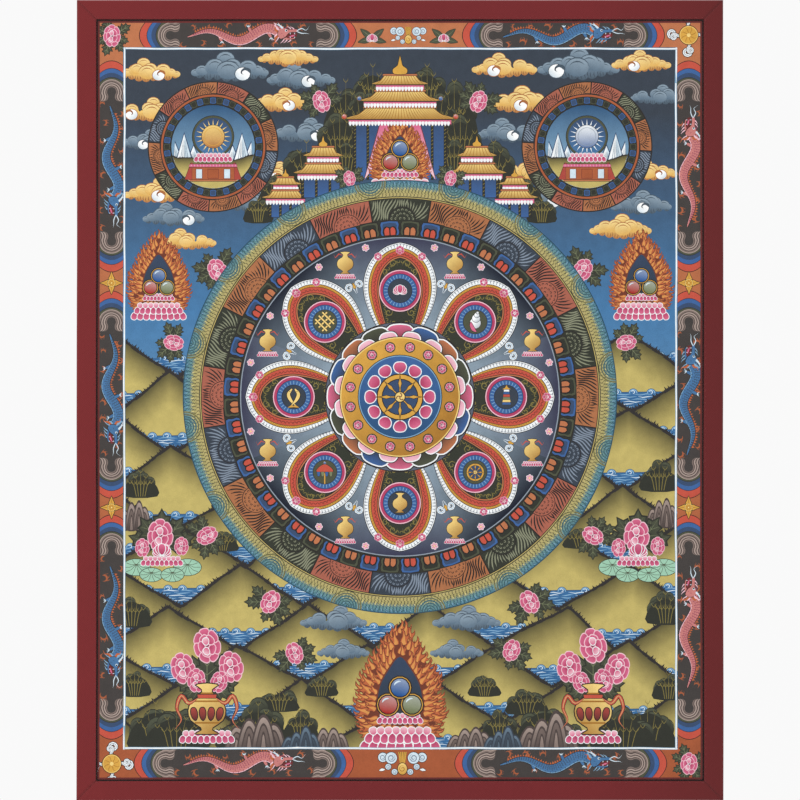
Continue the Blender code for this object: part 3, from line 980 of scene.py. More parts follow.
def vaseOfPeonies(dice):
    stamp = []
    for turn, size in ((-78, 1), (-52, 1.1), (-24, 1.15), (24, 1.15), (52, 1.1), (78, 1), (0, 1.2),
                       (-100, 0.8), (100, 0.8)):
        stamp += placed(toothedLeaf(22), (0, 30), turn, size)
    for x, y, radius in ((-16, 44, 8.5), (16, 45, 8.5), (0, 59, 9.5), (-7, 36, 6.5), (8, 35, 6.0)):
        stamp += placed(peony(radius), (x, y), dice.uniform(-30, 30))
    stamp += placed(lotusSeat(34), (0, 2.5)) + vase(31)
    for side in (-1, 1):  # a tied scarf
        tail = np.array([(5, 25), (12, 21), (17, 26), (20, 18), (17, 10), (21, 4)]) * (side, 1)
        stamp += strokes(smooth(tail, 4, False), ((3.0, "ink"), (2.2, "vermilion"), (0.5, "sand")),
                         0.2, 0.5)
    return stamp + edged(block(6, 24, 27, 6.4), "vermilion", "ink", 0.4)


def roof(width, height):  # one tier of a gilded roof, its lower edge at the origin
    half = width / 2
    outline = np.array([(-half - 3, 1.2), (-half, 0), (half, 0), (half + 3, 1.2), (half * 0.8, height * 0.5),
                        (half * 0.66, height), (-half * 0.66, height), (-half * 0.8, height * 0.5)])
    stamp = edged(outline, graded("goldLit", "goldDeep", (0, height), (0, -1)), "ink", 0.4)
    for s in np.linspace(-1, 1, int(width / 2.2)):
        stamp += stroke([(s * half * 0.64, height - 0.4), (s * half * 0.78, height * 0.5),
                         (s * half * 0.98, 0.4)], 0.35, "goldDeep", 0, 0)
    ridge = block(half * 0.72, height - 0.6, height + 1, half * 0.7)
    stamp += edged(ridge, "orange", "ink", 0.3) + edged(block(half, -3.4, 0), "rose", "ink", 0.3)
    drop = dab(smooth([(-0.9, 0.2), (0.9, 0.2), (0.8, -1.5), (0, -2.6), (-0.8, -1.5)], 2), "white")
    for x in np.arange(-half + 1, half, 2.1):
        stamp += placed(drop, (x, -1.6))
    return stamp


finial = edged(smooth([(-4, 0), (4, 0), (5, 3.5), (2, 6), (1.2, 9), (0, 13), (-1.2, 9), (-2, 6),
                       (-5, 3.5)], 3), "gold", "ink", 0.4)


def wall(half, foot, top, names, columns):  # a room in shaded colour behind a row of columns
    stamp = edged(block(half, foot, top), graded(*names, (0, top), (0, foot)), "ink", 0.4)
    for x in np.linspace(-1, 1, columns) * (half - 1.1):
        stamp += edged(block(0.9, foot, top, at=x), "leafDeep", "ink", 0.3)
        for y in np.arange(foot + 1.6, top - 2, 2.4):
            stamp += stroke([(x - 0.6, y), (x + 0.6, y + 0.9)], 0.4, "olive", 0, 0)
        stamp += dab(block(1.6, top - 2.6, top - 1.6, 1.2, x), "gold")
    return stamp + edged(block(half, top - 1.8, top), "vermilion", "ink", 0.3)


def pavilion(width, height):  # a hall of two storeys, its foot at the origin
    half, low = width / 2, height * 0.42
    stamp = wall(half * 0.5, low, height * 0.72, ("roseDeep", "blush"), 3)
    stamp += wall(half * 0.86, 0, low, ("indigo", "azure"), 4)
    stamp += placed(roof(width * 0.62, height * 0.17), (0, height * 0.72))
    return stamp + placed(roof(width, height * 0.18), (0, low)) + placed(
        finial, (0, height * 0.9), size=width / 60)


def parasol(dice):  # a three-tiered canopy over a jewel, its foot at the origin
    stamp = wall(31, 8, 50, ("indigo", "azure"), 8)
    for side in (-1, 1):  # pink hangings beside the flames
        stamp += edged([(side * 7, 30), (side * 24, 8), (side * 14, 44), (side * 7, 50)][::side],
                       graded("rose", "blush", (0, 44), (0, 12)), "maroon", 0.5)
    stamp += placed(aura(34, 46, dice), (0, 3)) + placed(jewelHeap(15), (0, 18))
    stamp += placed(lotusSeat(40), (0, 8)) + wall(19, 56, 62, ("roseDeep", "blush"), 5)
    stamp += placed(roof(68, 8), (0, 48)) + placed(roof(48, 7), (0, 60))
    stamp += placed(roof(32, 6.5), (0, 71)) + placed(finial, (0, 78))
    for side in (-1, 1):
        stamp += placed(gem(1.7, "vermilion"), (side * 37, 50)) + placed(gem(1.5, "azure"),
                                                                        (side * 27, 62))
    return stamp


def flamingJewels(dice):
    stamp = placed(lotusSeat(34), (0, 3)) + aura(36, 52, dice)
    return stamp + placed(jewelHeap(13), (0, 15)) + placed(lotusSeat(30), (0, 6))


def lotusClump():  # a great lotus with round jade leaves
    stamp = []
    for turn, size in ((70, 1), (-70, 1), (35, 1.05), (-35, 1.05), (0, 1.1)):
        stamp += placed(toothedLeaf(24), (0, 14), turn, size)
    for x, y, r in ((-17, 1, 9.5), (-7, -4, 8), (17, 1, 9.5), (7, -4, 8)):
        stamp += edged(circle(r, 18) * (1, 0.62) + (x, y), "jade", "leafDeep", 0.4)
        for way in np.linspace(0, 2 * math.pi, 11)[:-1]:
            out, up = r * math.cos(way), r * math.sin(way)
            stamp += stroke([(x, y + r * 0.2), (x + 0.45 * out, y + 0.3 * up),
                             (x + 0.9 * out, y + 0.55 * up)], 0.3, "leaf", 0, 0)
    stamp += placed(lotusSeat(26), (0, 8)) + placed(peony(9), (-1, 22)) + placed(lotus(17), (0, 9))
    return stamp + placed(peony(5), (-13, 14)) + placed(peony(5), (13, 15))


def layout():
    # the land: steep zigzag ridges from the horizon down, each in front of the last,
    # with a reach of water behind every notch
    dice = np.random.default_rng(23)
    stamp, legs = [], 9
    for row, level in enumerate((30, 6, -20, -46, -72, -98, -124, -150, -176, -202, -224)):
        xs = np.linspace(-192, 192, legs + 1) + dice.uniform(-6, 6, legs + 1)
        ys = level + 14 * (1 - 2 * ((np.arange(legs + 1) + row) % 2)) + dice.uniform(-3, 3, legs + 1)
        for x, y in zip(xs, ys):
            if y < level:
                stamp += water(x - 25, x + 25, y + 12.5, 15, dice)
        fine = np.linspace(0, legs, legs * 5 + 1)
        ridge = np.column_stack([np.interp(fine, range(legs + 1), xs), np.interp(
            fine, range(legs + 1), ys) + 0.5 * np.sin(fine * 9)])
        stamp += hillside(ridge, -236, ("oliveDeep", "straw"), 24)
    return stamp


pictureBox = (-183.6, 183.9, -231.6, 233.9)      # to the outside of the pale line


def paintPicture():
    dice = np.random.default_rng(5)
    x0, x1, y0, y1 = pictureBox

    def scattered(maker, *places):  # pieces of given width and height, each at x, y
        return [piece for x, y, *sizes in places for piece in placed(maker(*sizes, dice), (x, y))]

    stamp = []
    bands = ((y1 + 1, 190, "nightSky", "nightSky"), (190, 130, "nightSky", "duskSky"),
             (130, 60, "duskSky", "daySky"), (60, y0 - 1, "daySky", "paleSky"))
    for top, foot, upper, lower in bands:
        stamp += gridOf(np.linspace(x0 - 1, x1 + 1, 25),
                        np.linspace(foot, top, int((top - foot) / 16) + 2),
                        graded(upper, lower, (0, top), (0, foot)))
    for kind, x, y, width, curls in (
            ("gold", -166, 216, 40, 1), ("grey", -112, 217, 50, 1), ("grey", -66, 212, 44, 1),
            ("gold", -74, 226, 38, 0), ("grey", 118, 219, 52, 1), ("gold", 160, 222, 38, 1),
            ("gold", 70, 219, 42, 1), ("grey", 170, 200, 34, 0), ("gold", -168, 190, 40, 1),
            ("grey", -168, 170, 36, 1), ("gold", -78, 196, 40, 1), ("grey", -64, 176, 42, 1),
            ("gold", 80, 196, 44, 1), ("grey", 72, 176, 40, 1), ("gold", -160, 136, 44, 1),
            ("grey", -150, 120, 40, 1), ("gold", -82, 148, 38, 1), ("grey", -100, 130, 44, 1),
            ("gold", 84, 150, 40, 1), ("grey", 104, 132, 42, 1), ("gold", 166, 150, 36, 1),
            ("grey", 160, 128, 40, 1), ("gold", 146, 112, 40, 0), ("gold", -140, 104, 36, 0)):
        stamp += placed(cloud(kind, dice, width, curls), (x, y), flip=dice.random() < 0.5)
    stamp += layout() + scattered(
        shrub, (-18, 192, 26, 38), (18, 192, 26, 38), (-36, 172, 28, 50), (36, 172, 28, 50),
        (0, 170, 32, 52), (-24, 172, 28, 46), (24, 172, 28, 46), (-40, 156, 30, 46),
        (40, 156, 30, 46), (-62, 140, 30, 40), (62, 140, 30, 40), (-82, 126, 24, 30),
        (82, 126, 24, 30), (-36, 150, 24, 30), (36, 150, 24, 30), (-94, 118, 18, 20),
        (94, 118, 18, 20))
    for side in (-1, 1):
        stamp += placed(pavilion(26, 30), (side * 76, 121)) + placed(pavilion(34, 38), (side * 51, 134))
    stamp += placed(parasol(dice), (0, 138)) + scattered(
        shrub, (-172, -64, 22, 22), (-178, -150, 24, 26), (172, -60, 24, 24), (176, -148, 24, 26),
        (-118, -100, 20, 16), (120, -98, 22, 16), (-80, -206, 24, 18), (84, -208, 26, 20),
        (-52, -196, 20, 16), (56, -196, 20, 16), (-108, -231, 26, 22), (110, -231, 26, 22),
        (-162, -232, 34, 40), (164, -232, 34, 40), (-94, -228, 34, 34), (96, -228, 34, 34),
        (-148, -232, 40, 34), (148, -232, 40, 34), (-176, -196, 20, 22), (178, -198, 20, 22),
        (-66, -226, 22, 26), (66, -226, 22, 26))
    stamp += scattered(rock, (-176, -86, 18, 20), (174, -84, 18, 20), (-96, -233, 34, 26),
                       (98, -233, 34, 26), (-48, -233, 24, 17), (46, -233, 26, 17))
    for x in (-66, 68):
        stamp += placed(rock(22, 16, dice, "nightSky", "cloudGreyDeep", "cloudGrey"), (x, -233))
    for x, y, size in ((-44, -148, 42), (44, -148, 42), (-38, -168, 34), (38, -168, 34)):
        stamp += placed(cloud("grey", dice, size, 0), (x, y))
    stamp += placed(flamingJewels(dice), (0, -226), size=1.45)
    stamp += placed(medallion(43, "sun"), (-124, 168)) + placed(medallion(43, "moon"), (124, 168))
    for side in (-1, 1):
        stamp += placed(flamingJewels(dice), (side * 160, 58)) + placed(lotusClump(), (side * 158, -112))
        stamp += placed(vaseOfPeonies(dice), (side * 128, -222), flip=side > 0)
    for x, y, radius, turn in ((-121, 86, 6.5, 30), (121, 86, 6.5, -30), (-150, 38, 5.5, 80),
                               (150, 38, 5.5, -80), (-128, -90, 6, 120), (128, -90, 6, -120),
                               (-86, -134, 6.5, 150), (86, -134, 6.5, -150), (-70, -168, 6, 200),
                               (74, -166, 6, -200), (-33.5, 147, 4.2, 10), (33.5, 147, 4.2, -10),
                               (-52, 198, 6, 20), (52, 198, 6, -20)):
        stamp += placed(peonySpray(radius, (52, 88, 124, -60, -100, 10), radius * 2.3), (x, y), turn)
    # the pale line ruled by hand round the picture
    corners = np.array([(x0, y0), (x1, y0), (x1, y1), (x0, y1), (x0, y0)], float)
    for a, b in zip(corners[:-1], corners[1:]):
        steps = np.linspace(0, 1, 60)[:, None]
        side = np.array([-(b - a)[1], (b - a)[0]]) / np.linalg.norm(b - a)
        wobble = 0.16 * np.sin(steps * 23) + 0.12 * np.sin(steps * 61 + 1)
        line = a + (b - a) * steps + side * (0.8 + wobble)
        stamp += strokes(line, ((1.4, "paleSky"), (0.85, "white")), 0, 0)
    return stamp


ringCentre = np.array([0.0, 2.0])
ringRadius = 144.0
groundRadius = 106.4


def knot(size):
    stamp = []
    for slant in (1, -1):
        for shift in (-0.24, 0, 0.24):
            line = np.array([(-0.4 + shift, -0.4 - shift), (shift, -shift), (0.4 + shift, 0.4 - shift)])
            stamp += strokes(line * (slant * size, size),
                             ((size * 0.17, "ink"), (size * 0.1, "goldLit")), 0, 0)
    return stamp


def fishPair(size):
    stamp = []
    for side in (-1, 1):
        line = smooth(np.array([(side * 0.1, 0.55), (side * 0.34, 0.2), (side * 0.2, -0.2),
                                (-side * 0.12, -0.55)]) * size, 4, False)
        tail = np.array([(-side * 0.12, -0.5), (-side * 0.42, -0.75), (side * 0.08, -0.72)]) * size
        stamp += edged(tail[::side], "gold", "ink", size * 0.03)
        girth = np.sin(np.linspace(0.25, math.pi - 0.1, len(line)))
        stamp += taperedBody(line, size * (0.03 + 0.13 * girth), "ink")[0]
        stamp += taperedBody(line, size * (0.01 + 0.1 * girth), "goldLit")[0]
        stamp += discs(6, (size * 0.035, "ink"), at=line[2])
    return stamp


def shell(size):
    stamp = []
    for i, (y, r) in enumerate(((-0.1, 0.4), (0.22, 0.3), (0.44, 0.2), (0.6, 0.11))):
        at = (0.05 * i * size, y * size)
        stamp += edged(circle(r * size, 14, at), graded("white", "ash", at, (r * size, at[1] - r * size)),
                       "ink", size * 0.03)
    mouth = smooth(np.array([(-0.3, 0.0), (-0.1, -0.3), (0.1, -0.72), (-0.24, -0.62), (-0.4, -0.25)]) * size)
    return stamp + edged(mouth, "rose", "ink", size * 0.03)


def banner(size):
    stamp = []
    for i, name in enumerate(("azure", "goldLit", "leafLit", "vermilion", "azure", "white")):
        y, w = (-0.55 + i * 0.18) * size, (0.3 - 0.02 * i) * size
        stamp += edged([(-w, y), (w, y), (w * 0.92, y + 0.2 * size), (-w * 0.92, y + 0.2 * size)],
                       name, "ink", size * 0.025)
    cap = np.array([(-0.3, 0.5), (0.3, 0.5), (0.12, 0.66), (0, 0.85), (-0.12, 0.66)]) * size
    return stamp + edged(cap, "gold", "ink", size * 0.03)


def umbrella(size):
    dome = smooth(mirrored(np.array([(0.55, 0), (0.5, 0.28), (0.22, 0.5), (0, 0.58)]) * size), 2)
    stamp = stroke(np.array([(0, -0.8), (0, -0.2), (0, 0.3)]) * size, size * 0.08, "gold", 0, 0)
    stamp += edged(dome, "vermilion", "ink", size * 0.03)
    for x, name in ((-0.42, "azure"), (-0.14, "leafLit"), (0.14, "azure"), (0.42, "leafLit")):
        drop = np.array([(x - 0.13, 0.04), (x + 0.13, 0.04), (x + 0.1, -0.24), (x, -0.32), (x - 0.1, -0.24)])
        stamp += edged(drop * size, name, "ink", size * 0.025)
    return stamp + placed(gem(size * 0.1, "azure"), (0, size * 0.64))


def wheel(radius, rim="gold"):
    stamp = edged(circle(radius, 28), rim, "ink", radius * 0.05)
    stamp += edged(circle(radius * 0.78, 24), "indigo", "ink", radius * 0.04)
    spoke = edged(mirrored(np.array([(0.05, 0.1), (0.04, 0.4), (0.09, 0.58), (0.03, 0.8), (0, 1.12)])
                           * radius), rim, "ink", radius * 0.025)
    stamp += ring(spoke, 8) + edged(circle(radius * 0.24, 16), "goldLit", "ink", radius * 0.04)
    swirl = stroke(arc(radius * 0.08, -90, 90, 5, (0, radius * 0.08)), radius * 0.04, "maroon", 0, 0)
    return stamp + ring(swirl, 3)


def emblem(index, size):
    return (placed(lotus(size * 1.3), (0, -size * 0.2)), knot(size), fishPair(size), umbrella(size),
            placed(vase(size * 1.25, False), (0, -size * 0.65)), wheel(size * 0.62), banner(size),
            shell(size))[index]


def hexFlower(radius):
    return ring(petal(radius * 0.8, radius * 0.9, "white", "blush", "rose", radius * 0.08), 6,
                radius * 0.15) + dab(circle(radius * 0.24, 8), "goldLit")


def palacePetal(index):
    # nested borders round a dark field: white fret, orange, gold rope, then scrolls
    shape = smooth(mirrored([(8.5, 28), (12.5, 39), (18.2, 50), (22.0, 62), (21.6, 73), (17.4, 83),
                             (9.6, 90.2), (2.0, 93)]), 4)
    x, y = shape.T
    fret = stroke([(-0.8, -0.8), (0.8, -0.8)], 0.36, "slate", 0, 0) + stroke(
        [(0.0, -0.8), (0.0, 0.8)], 0.36, "slate", 0, 0)
    rope = stroke([(-0.5, -0.5), (0.5, 0.5)], 0.35, "goldDeep", 0, 0)
    scale = stroke(arc(1.0, 0, 220, 6, (0, -0.4)), 0.4, "maroon", 0, 0.3)
    curl = stroke(arc(0.9, 200, -40, 6), 0.4, "olive", 0, 0.3)
    stamp = dab(shape, "soot")
    for margin, look, spacing in (
            (0.4, "white", 0), (1.8, fret, 1.9), (3.1, "ink", 0), (3.5, "gold", 0), (4.1, rope, 1.1),
            (4.7, "ink", 0), (5.0, "vermilion", 0), (6.6, scale, 2.3), (8.2, "ink", 0),
            (8.6, "orange", 0), (9.3, "ink", 0), (9.7, "mossDeep", 0), (11.2, curl, 2.6)):
        high = np.where(y > 60, 60 + (y - 60) * (33 - margin) / 33, y)
        outline = np.column_stack([x * (22 - margin) / 22, high])
        stamp += along(outline[2:-2], look, spacing) if spacing else dab(outline, look)
    for side in (-1, 1):
        for x, y, r, start, turns in ((4.2, 80.2, 2.8, 200, -1.3), (6.8, 51.0, 2.6, 120, 1.3),
                                      (4.0, 44.6, 2.4, 60, -1.3), (8.8, 75.6, 2.0, 250, 1.2)):
            stamp += stroke(spiral((x, y), r, 0.4, start, turns, 10) * (side, 1), 0.55, "olive", 0.2, 0.2)
        stamp += placed(peony(2.4), (side * 13.2, 84.6))
    at = np.array([0, 64.0])
    stamp += placed(peony(2.6), (0, 88.6)) + discs(
        32, (13.0, "ink"), (12.6, "blush"), (12.0, "roseDeep"), (10.4, "ink"), (10.1, "azure"), at=at)
    stamp += placed(ring(stroke([(0, 7.6), (0, 9.6)], 0.35, "skyLine", 0, 0), 28), at)
    stamp += discs(24, (7.4, "ink"), (7.1, "leaf" if index % 2 else "nightSky"), at=at)
    return stamp + placed(emblem(index, 8.8), at + (0, 0.2), -45 * index)


def waveBorder(inner, outer):
    # rippled water: teal at the rim, straw-coloured within, all in fine curling lines
    stamp, span = [], outer - inner
    for low, high, nameIn, nameOut in ((0, 0.16, "sedge", "sedge"), (0.16, 0.42, "sedge", "seaGold"),
                                       (0.42, 0.62, "seaGold", "tealLit"), (0.62, 1, "tealLit", "teal")):
        a, b = inner + low * span, inner + high * span
        stamp += ring(dab(sector(a, b, 86.2, 93.8, 4), graded(nameIn, nameOut, (0, a), (0, b))), 48)
    for share, count, length, name, lean in (
            (0.90, 340, 2.6, "tealDeep", 0.8), (0.80, 280, 2.4, "paleSky", -0.7),
            (0.70, 390, 3.6, "tealDeep", -0.9), (0.52, 390, 3.4, "lakeDeep", 0.9),
            (0.44, 200, 2.2, "strawLit", -0.6), (0.32, 390, 3.2, "leafDeep", -0.8),
            (0.12, 360, 2.2, "leafDeep", 0.7)):
        flick = stroke([(-lean, -length / 2), (lean * 0.5, -length * 0.1), (-lean * 0.2, length * 0.2),
                        (lean, length / 2)], 0.52, name, 0.25, 0.25)
        stamp += ring(flick, count, inner + share * span, share * 50, 0.004)
    ripple = []
    for i, reach in enumerate((1.0, 0.84, 0.68, 0.52, 0.36, 0.2)):
        path = arc(1, 180, 360, 11) * (reach * span * 0.9, reach * span * 0.96)
        ripple += stroke(path, 1.0, "seaGold" if i < 2 else "tealLit", 0, 0)
        ripple += stroke(path, 0.5, ("oliveDeep", "tealDeep")[i > 0], 0, 0)
    return clipped(stamp + ring(ripple, 16, outer - 0.2, 8, 0.02), outer)


def mandalaHeart():  # a lotus round a gold disc, and a wheel on blue at the middle
    stamp = discs(72, (40.2, "ink"), (39.8, "slate")) + ring(petal(17, 11, "ink", "ink", "ink"), 16, 28.8)
    for i, (name, deep) in enumerate((("rose", "maroon"), ("leaf", "soot"), ("orange", "soot"),
                                      ("azure", "soot"))):
        stamp += ring(petal(16, 10.4, "white", name, deep, 0.7), 4, 28.8, i * 22.5)
    stamp += ring(petal(11, 8.2, "ink", "ink", "ink"), 16, 27.6, 11.25)
    stamp += ring(petal(10.2, 7.8, "white", "blush", "rose", 0.6), 16, 27.6, 11.25)
    stamp += discs(64, (32.4, "ink"), (32.0, "goldLit"),
                   (31.4, graded("gold", "goldDeep", (-20, 22), (22, -30))))
    fleck = stroke([(-0.9, -0.5), (0.9, 0.5)], 0.3, "goldDeep")
    stamp += ring(fleck, 60, 29.8) + ring(fleck, 48, 24.2)
    stamp += discs(48, (22.6, "ink"), (22.2, "paleSky"),
                   (21.7, graded("azure", "lakeDeep", (0, 22), (0, -22))))
    stamp += ring(discs(14, (2.9, "ink"), (2.6, "leaf")) + placed(peony(2.2)), 16, 27.0, 11.25)
    return stamp + ring(petal(7.6, 6.6, "white", "rose", "roseDeep", 0.5), 12, 12.4) + placed(wheel(12.6))


def makeVolutes():  # two white curls with blue lines, rolled outwards from a gold bud
    stamp = []
    for side in (-1, 1):
        curl = np.concatenate([[(0.3, -4.6), (0.9, -1.6)], spiral((3.6, 0.4), 2.7, 0.9, 170, -1.15, 10)])
        stamp += strokes(curl * (side, 1), ((2.1, "ink"), (1.6, "white"), (0.45, "skyLine")), 0.25, 0.1)
    bud = [(-1.1, -0.6), (0, -1.6), (1.1, -0.6), (0.9, 1.4), (0, 3.2), (-0.9, 1.4)]
    return stamp + edged(smooth(bud, 2), "gold", "ink", 0.3)


def paintMandala():
    volutes = makeVolutes()
    ribbonedVase = placed(lotusSeat(13)) + placed(vase(13.5, False), (0, 0.2))
    for side in (-1, 1):
        ribbonedVase += stroke(np.array([(1.4, 12.5), (4.2, 13.6), (6.6, 11.0), (7.6, 13.0)]) * (side, 1),
                               0.9, "vermilion", 0.1, 0.6)
    stamp = discs(192, (ringRadius + 0.1, "teal")) + waveBorder(132.8, ringRadius)
    stamp += stroke(arc(ringRadius - 0.3, 0, 360, 193), 0.5, "tealDeep", 0, 0)
    stamp += discs(160, (133.1, "soot"), (132.5, "straw"), (132.0, "soot"))
    stamp += scrollRing(117.2, 131.8, 20) + tileRing(groundRadius, 117.2, 52, 3.5)
    stamp += discs(128, (groundRadius, "ink"), (groundRadius - 0.4, "ash"))
    for i in range(8):  # the ground inside, laid on in turned strokes
        way = np.array([math.cos(math.radians(i * 45 + 45)), math.sin(math.radians(i * 45 + 45))])
        stamp += dab(sector(8, groundRadius - 1.1, i * 45 + 22.5, i * 45 + 67.5, 14), graded(
            "cloudGreyLit", "dusk" if i % 2 else "nightSky", 44 * way, 97 * way))
    for turn in range(0, 360, 45):
        way = np.array([math.sin(math.radians(turn + 22.5)), math.cos(math.radians(turn + 22.5))])
        stamp += placed(ribbonedVase, way * 95 + (0, -6.5)) + placed(volutes, way * 79, -turn - 22.5)
    stamp += ring(hexFlower(2.4), 8, 101.5, 13) + ring(hexFlower(2.4), 8, 101.5, 32)
    for i in (0, 2, 4, 6, 1, 3, 5, 7):
        stamp += placed(palacePetal(i), turn=i * 45, size=1.1)
    return placed(stamp + placed(mandalaHeart(), size=1.24), ringCentre)


def newMaterial(name, roughness):
    material = bpy.data.materials.new(name)
    material.use_nodes = True
    tree = material.node_tree
    shader = feed(tree, tree.nodes["Principled BSDF"],
                  {"Roughness": roughness, "Specular IOR Level": 0.25})
    return material, tree, shader, addNode(tree, "ShaderNodeTexCoord").outputs["Object"]


def dressed(material, shader, relief, strength, depth, inputs):  # ends a material
    tree = material.node_tree
    bump = addNode(tree, "ShaderNodeBump", {"Height": relief, "Strength": strength, "Distance": depth})
    feed(tree, shader, {"Normal": bump, **inputs})
    return material


def threadRelief(tree, along, across, pitch):
    # over-and-under of a plain weave: two sets of threads, each high where it lies on top
    lines = []
    for ways in ((along, across), (across, along)):
        turns, phase = (addNode(tree, "ShaderNodeMath", {0: way, 1: math.pi / pitch},
                                operation="MULTIPLY") for way in ways)
        wave = addNode(tree, "ShaderNodeMath", {0: turns}, operation="SINE")
        body = addNode(tree, "ShaderNodeMath", {0: wave}, operation="ABSOLUTE")
        share = addNode(tree, "ShaderNodeMath", {0: turns, 1: math.pi}, operation="DIVIDE")
        row = addNode(tree, "ShaderNodeMath", {0: share}, operation="FLOOR")
        shift = addNode(tree, "ShaderNodeMath", {0: row, 1: math.pi, 2: phase},
                        operation="MULTIPLY_ADD")
        over = addNode(tree, "ShaderNodeMath", {0: shift}, operation="SINE")
        lift = addNode(tree, "ShaderNodeMath", {0: over, 1: 0.5, 2: 0.5}, operation="MULTIPLY_ADD")
        lines.append(addNode(tree, "ShaderNodeMath", {0: body, 1: lift}, operation="MULTIPLY"))
    return addNode(tree, "ShaderNodeMath", {0: lines[0], 1: lines[1]}, operation="MAXIMUM")


paintLook = {
    "threadSpacing": 0.0009,       # the duck's threads are 0.5 mm apart, drawn coarser to show
    "weaveHeight": 0.00003,
    "brushLength": 0.006,
    "grainSize": 0.0006,
    "roughness": 0.58,
    "goldRoughness": 0.36,
    "goldPowder": 0.35,            # how metallic gum with gold powder is
}


def makePaintMaterial():
    # Gum-bound mineral colour on burnished chalk ground: matt and chalky, the canvas just
    # telling through, thin and thick by the brush. Gold powder lines have a low soft shine.
    material, tree, shader, place = newMaterial("gumPaintOnCanvas", paintLook["roughness"])
    paint = addNode(tree, "ShaderNodeAttribute", attribute_name="paint").outputs
    grain, wash = (addNode(tree, "ShaderNodeTexNoise", {
        "Vector": place, "Scale": 1 / paintLook[size], "Detail": detail})
        for size, detail in (("grainSize", 3.0), ("brushLength", 2.0)))
    both = addNode(tree, "ShaderNodeMath", {0: grain, 1: wash}, operation="ADD")
    thickness = addNode(tree, "ShaderNodeMapRange", {
        "Value": both, "From Min": 0.6, "From Max": 1.4, "To Min": 0.86, "To Max": 1.12})
    tone = addNode(tree, "ShaderNodeVectorMath", {0: paint["Color"], "Scale": thickness},
                   operation="SCALE")
    shine = addNode(tree, "ShaderNodeMapRange", {
        "Value": paint["Alpha"], "To Min": paintLook["roughness"], "To Max": paintLook["goldRoughness"]})
    powder = addNode(tree, "ShaderNodeMath", {0: paint["Alpha"], 1: paintLook["goldPowder"]},
                     operation="MULTIPLY")
    axes = addNode(tree, "ShaderNodeSeparateXYZ", {0: place}).outputs
    weave = threadRelief(tree, axes["X"], axes["Z"], paintLook["threadSpacing"])
    relief = addNode(tree, "ShaderNodeMath", {0: grain, 1: 0.6, 2: weave}, operation="MULTIPLY_ADD")
    return dressed(material, shader, relief, 0.5, paintLook["weaveHeight"],
                   {"Base Color": tone, "Roughness": shine, "Metallic": powder})


clothLook = {
    "threadSpacing": 0.0008,       # real threads are 0.35 mm apart, drawn coarser to show
    "weaveHeight": 0.00009,
    "roughness": 0.86,
    # colours from left to right: lighter at the left, where the lamp stands, as painted light and shade
    "left": "772527", "middle": "722326", "right": "642021",
}


def makeClothMaterial():
    # Plain woven cotton, vat-dyed dark red: matt, with a short fuzz and slightly uneven threads.
    # Painted light and shade: lighter towards the left side, where the light falls, darker to the right and
    # in the weave's low parts.
    material, tree, shader, place = newMaterial("dyedPlainCotton", clothLook["roughness"])
    # the cloth's colour runs from light at the left to dark at the right: painted light and shade across the
    # border
    shadeAcrossX = addNode(tree, "ShaderNodeSeparateXYZ", {0: place}).outputs["X"]
    across = addNode(tree, "ShaderNodeMapRange", {
        "Value": shadeAcrossX, "From Min": cadLow.x, "From Max": cadHigh.x})
    ramp = addNode(tree, "ShaderNodeValToRGB", {"Fac": across})
    stops = ramp.color_ramp.elements
    for position in (0.22, 0.80):
        stops.new(position)
    for stop, side in zip(stops, ("left", "middle", "middle", "right")):
        stop.color = (*linear(clothLook[side]), 1)
    threads = addNode(tree, "ShaderNodeUVMap", uv_map="clothMap")
    axes = addNode(tree, "ShaderNodeSeparateXYZ", {0: threads}).outputs
    weave = threadRelief(tree, axes["X"], axes["Y"], clothLook["threadSpacing"])
    uneven = addNode(tree, "ShaderNodeTexNoise", {"Vector": place, "Scale": 90.0, "Detail": 4.0})
    slub = addNode(tree, "ShaderNodeMath", {0: uneven, 1: 0.5, 2: weave}, operation="MULTIPLY_ADD")
    # colour darker where the weave lies low: painted shade in the hollows between threads, made uneven by
    # the slub noise
    depth = addNode(tree, "ShaderNodeMapRange", {
        "Value": slub, "From Min": 0.1, "From Max": 1.2, "To Min": 0.84, "To Max": 1.08})
    tone = addNode(tree, "ShaderNodeVectorMath", {0: ramp, "Scale": depth}, operation="SCALE")
    return dressed(material, shader, slub, 0.6, clothLook["weaveHeight"],
                   {"Base Color": tone, "Sheen Weight": 0.12, "Sheen Roughness": 0.5})


def makeCanvasMaterial():
    # Unbleached cotton, sized with hide glue: stiff, dull and yellowish, with
    # faint stains where the ground came through, and darker between the threads as painted shade.
    material, tree, shader, place = newMaterial("sizedCottonCanvas", 0.9)
    axes = addNode(tree, "ShaderNodeSeparateXYZ", {0: place}).outputs
    weave = threadRelief(tree, axes["X"], axes["Z"], paintLook["threadSpacing"])
    stain = addNode(tree, "ShaderNodeTexNoise", {"Vector": place, "Scale": 16.0, "Detail": 5.0})
    # stains, with the weave's low parts darker as painted shade
    stainsAndWeaveShade = addNode(tree, "ShaderNodeMath", {0: stain, 1: 0.8, 2: weave}, operation="MULTIPLY_ADD")
    ramp = addNode(tree, "ShaderNodeValToRGB", {"Fac": stainsAndWeaveShade})
    for stop, colour in zip(ramp.color_ramp.elements, ("9c8c6e", "d3c6a8")):
        stop.color = (*linear(colour), 1)
    return dressed(material, shader, weave, 0.6, 0.0001, {"Base Color": ramp})


def makeCordMaterial(name, hexColour, roughness):
    # Twisted mercerised cotton: a soft shine along the strands over a dull body.
    material, tree, shader, place = newMaterial(name, roughness)
    fuzz = addNode(tree, "ShaderNodeTexNoise", {"Vector": place, "Scale": 1500.0, "Detail": 3.0})
    ramp = addNode(tree, "ShaderNodeValToRGB", {"Fac": fuzz})
    for stop, light in zip(ramp.color_ramp.elements, (0.6, 1.5)):
        stop.color = (*(c * light for c in linear(hexColour)), 1)
    return dressed(material, shader, fuzz, 0.4, 0.00005, {"Base Color": ramp, "Sheen Weight": 0.1})


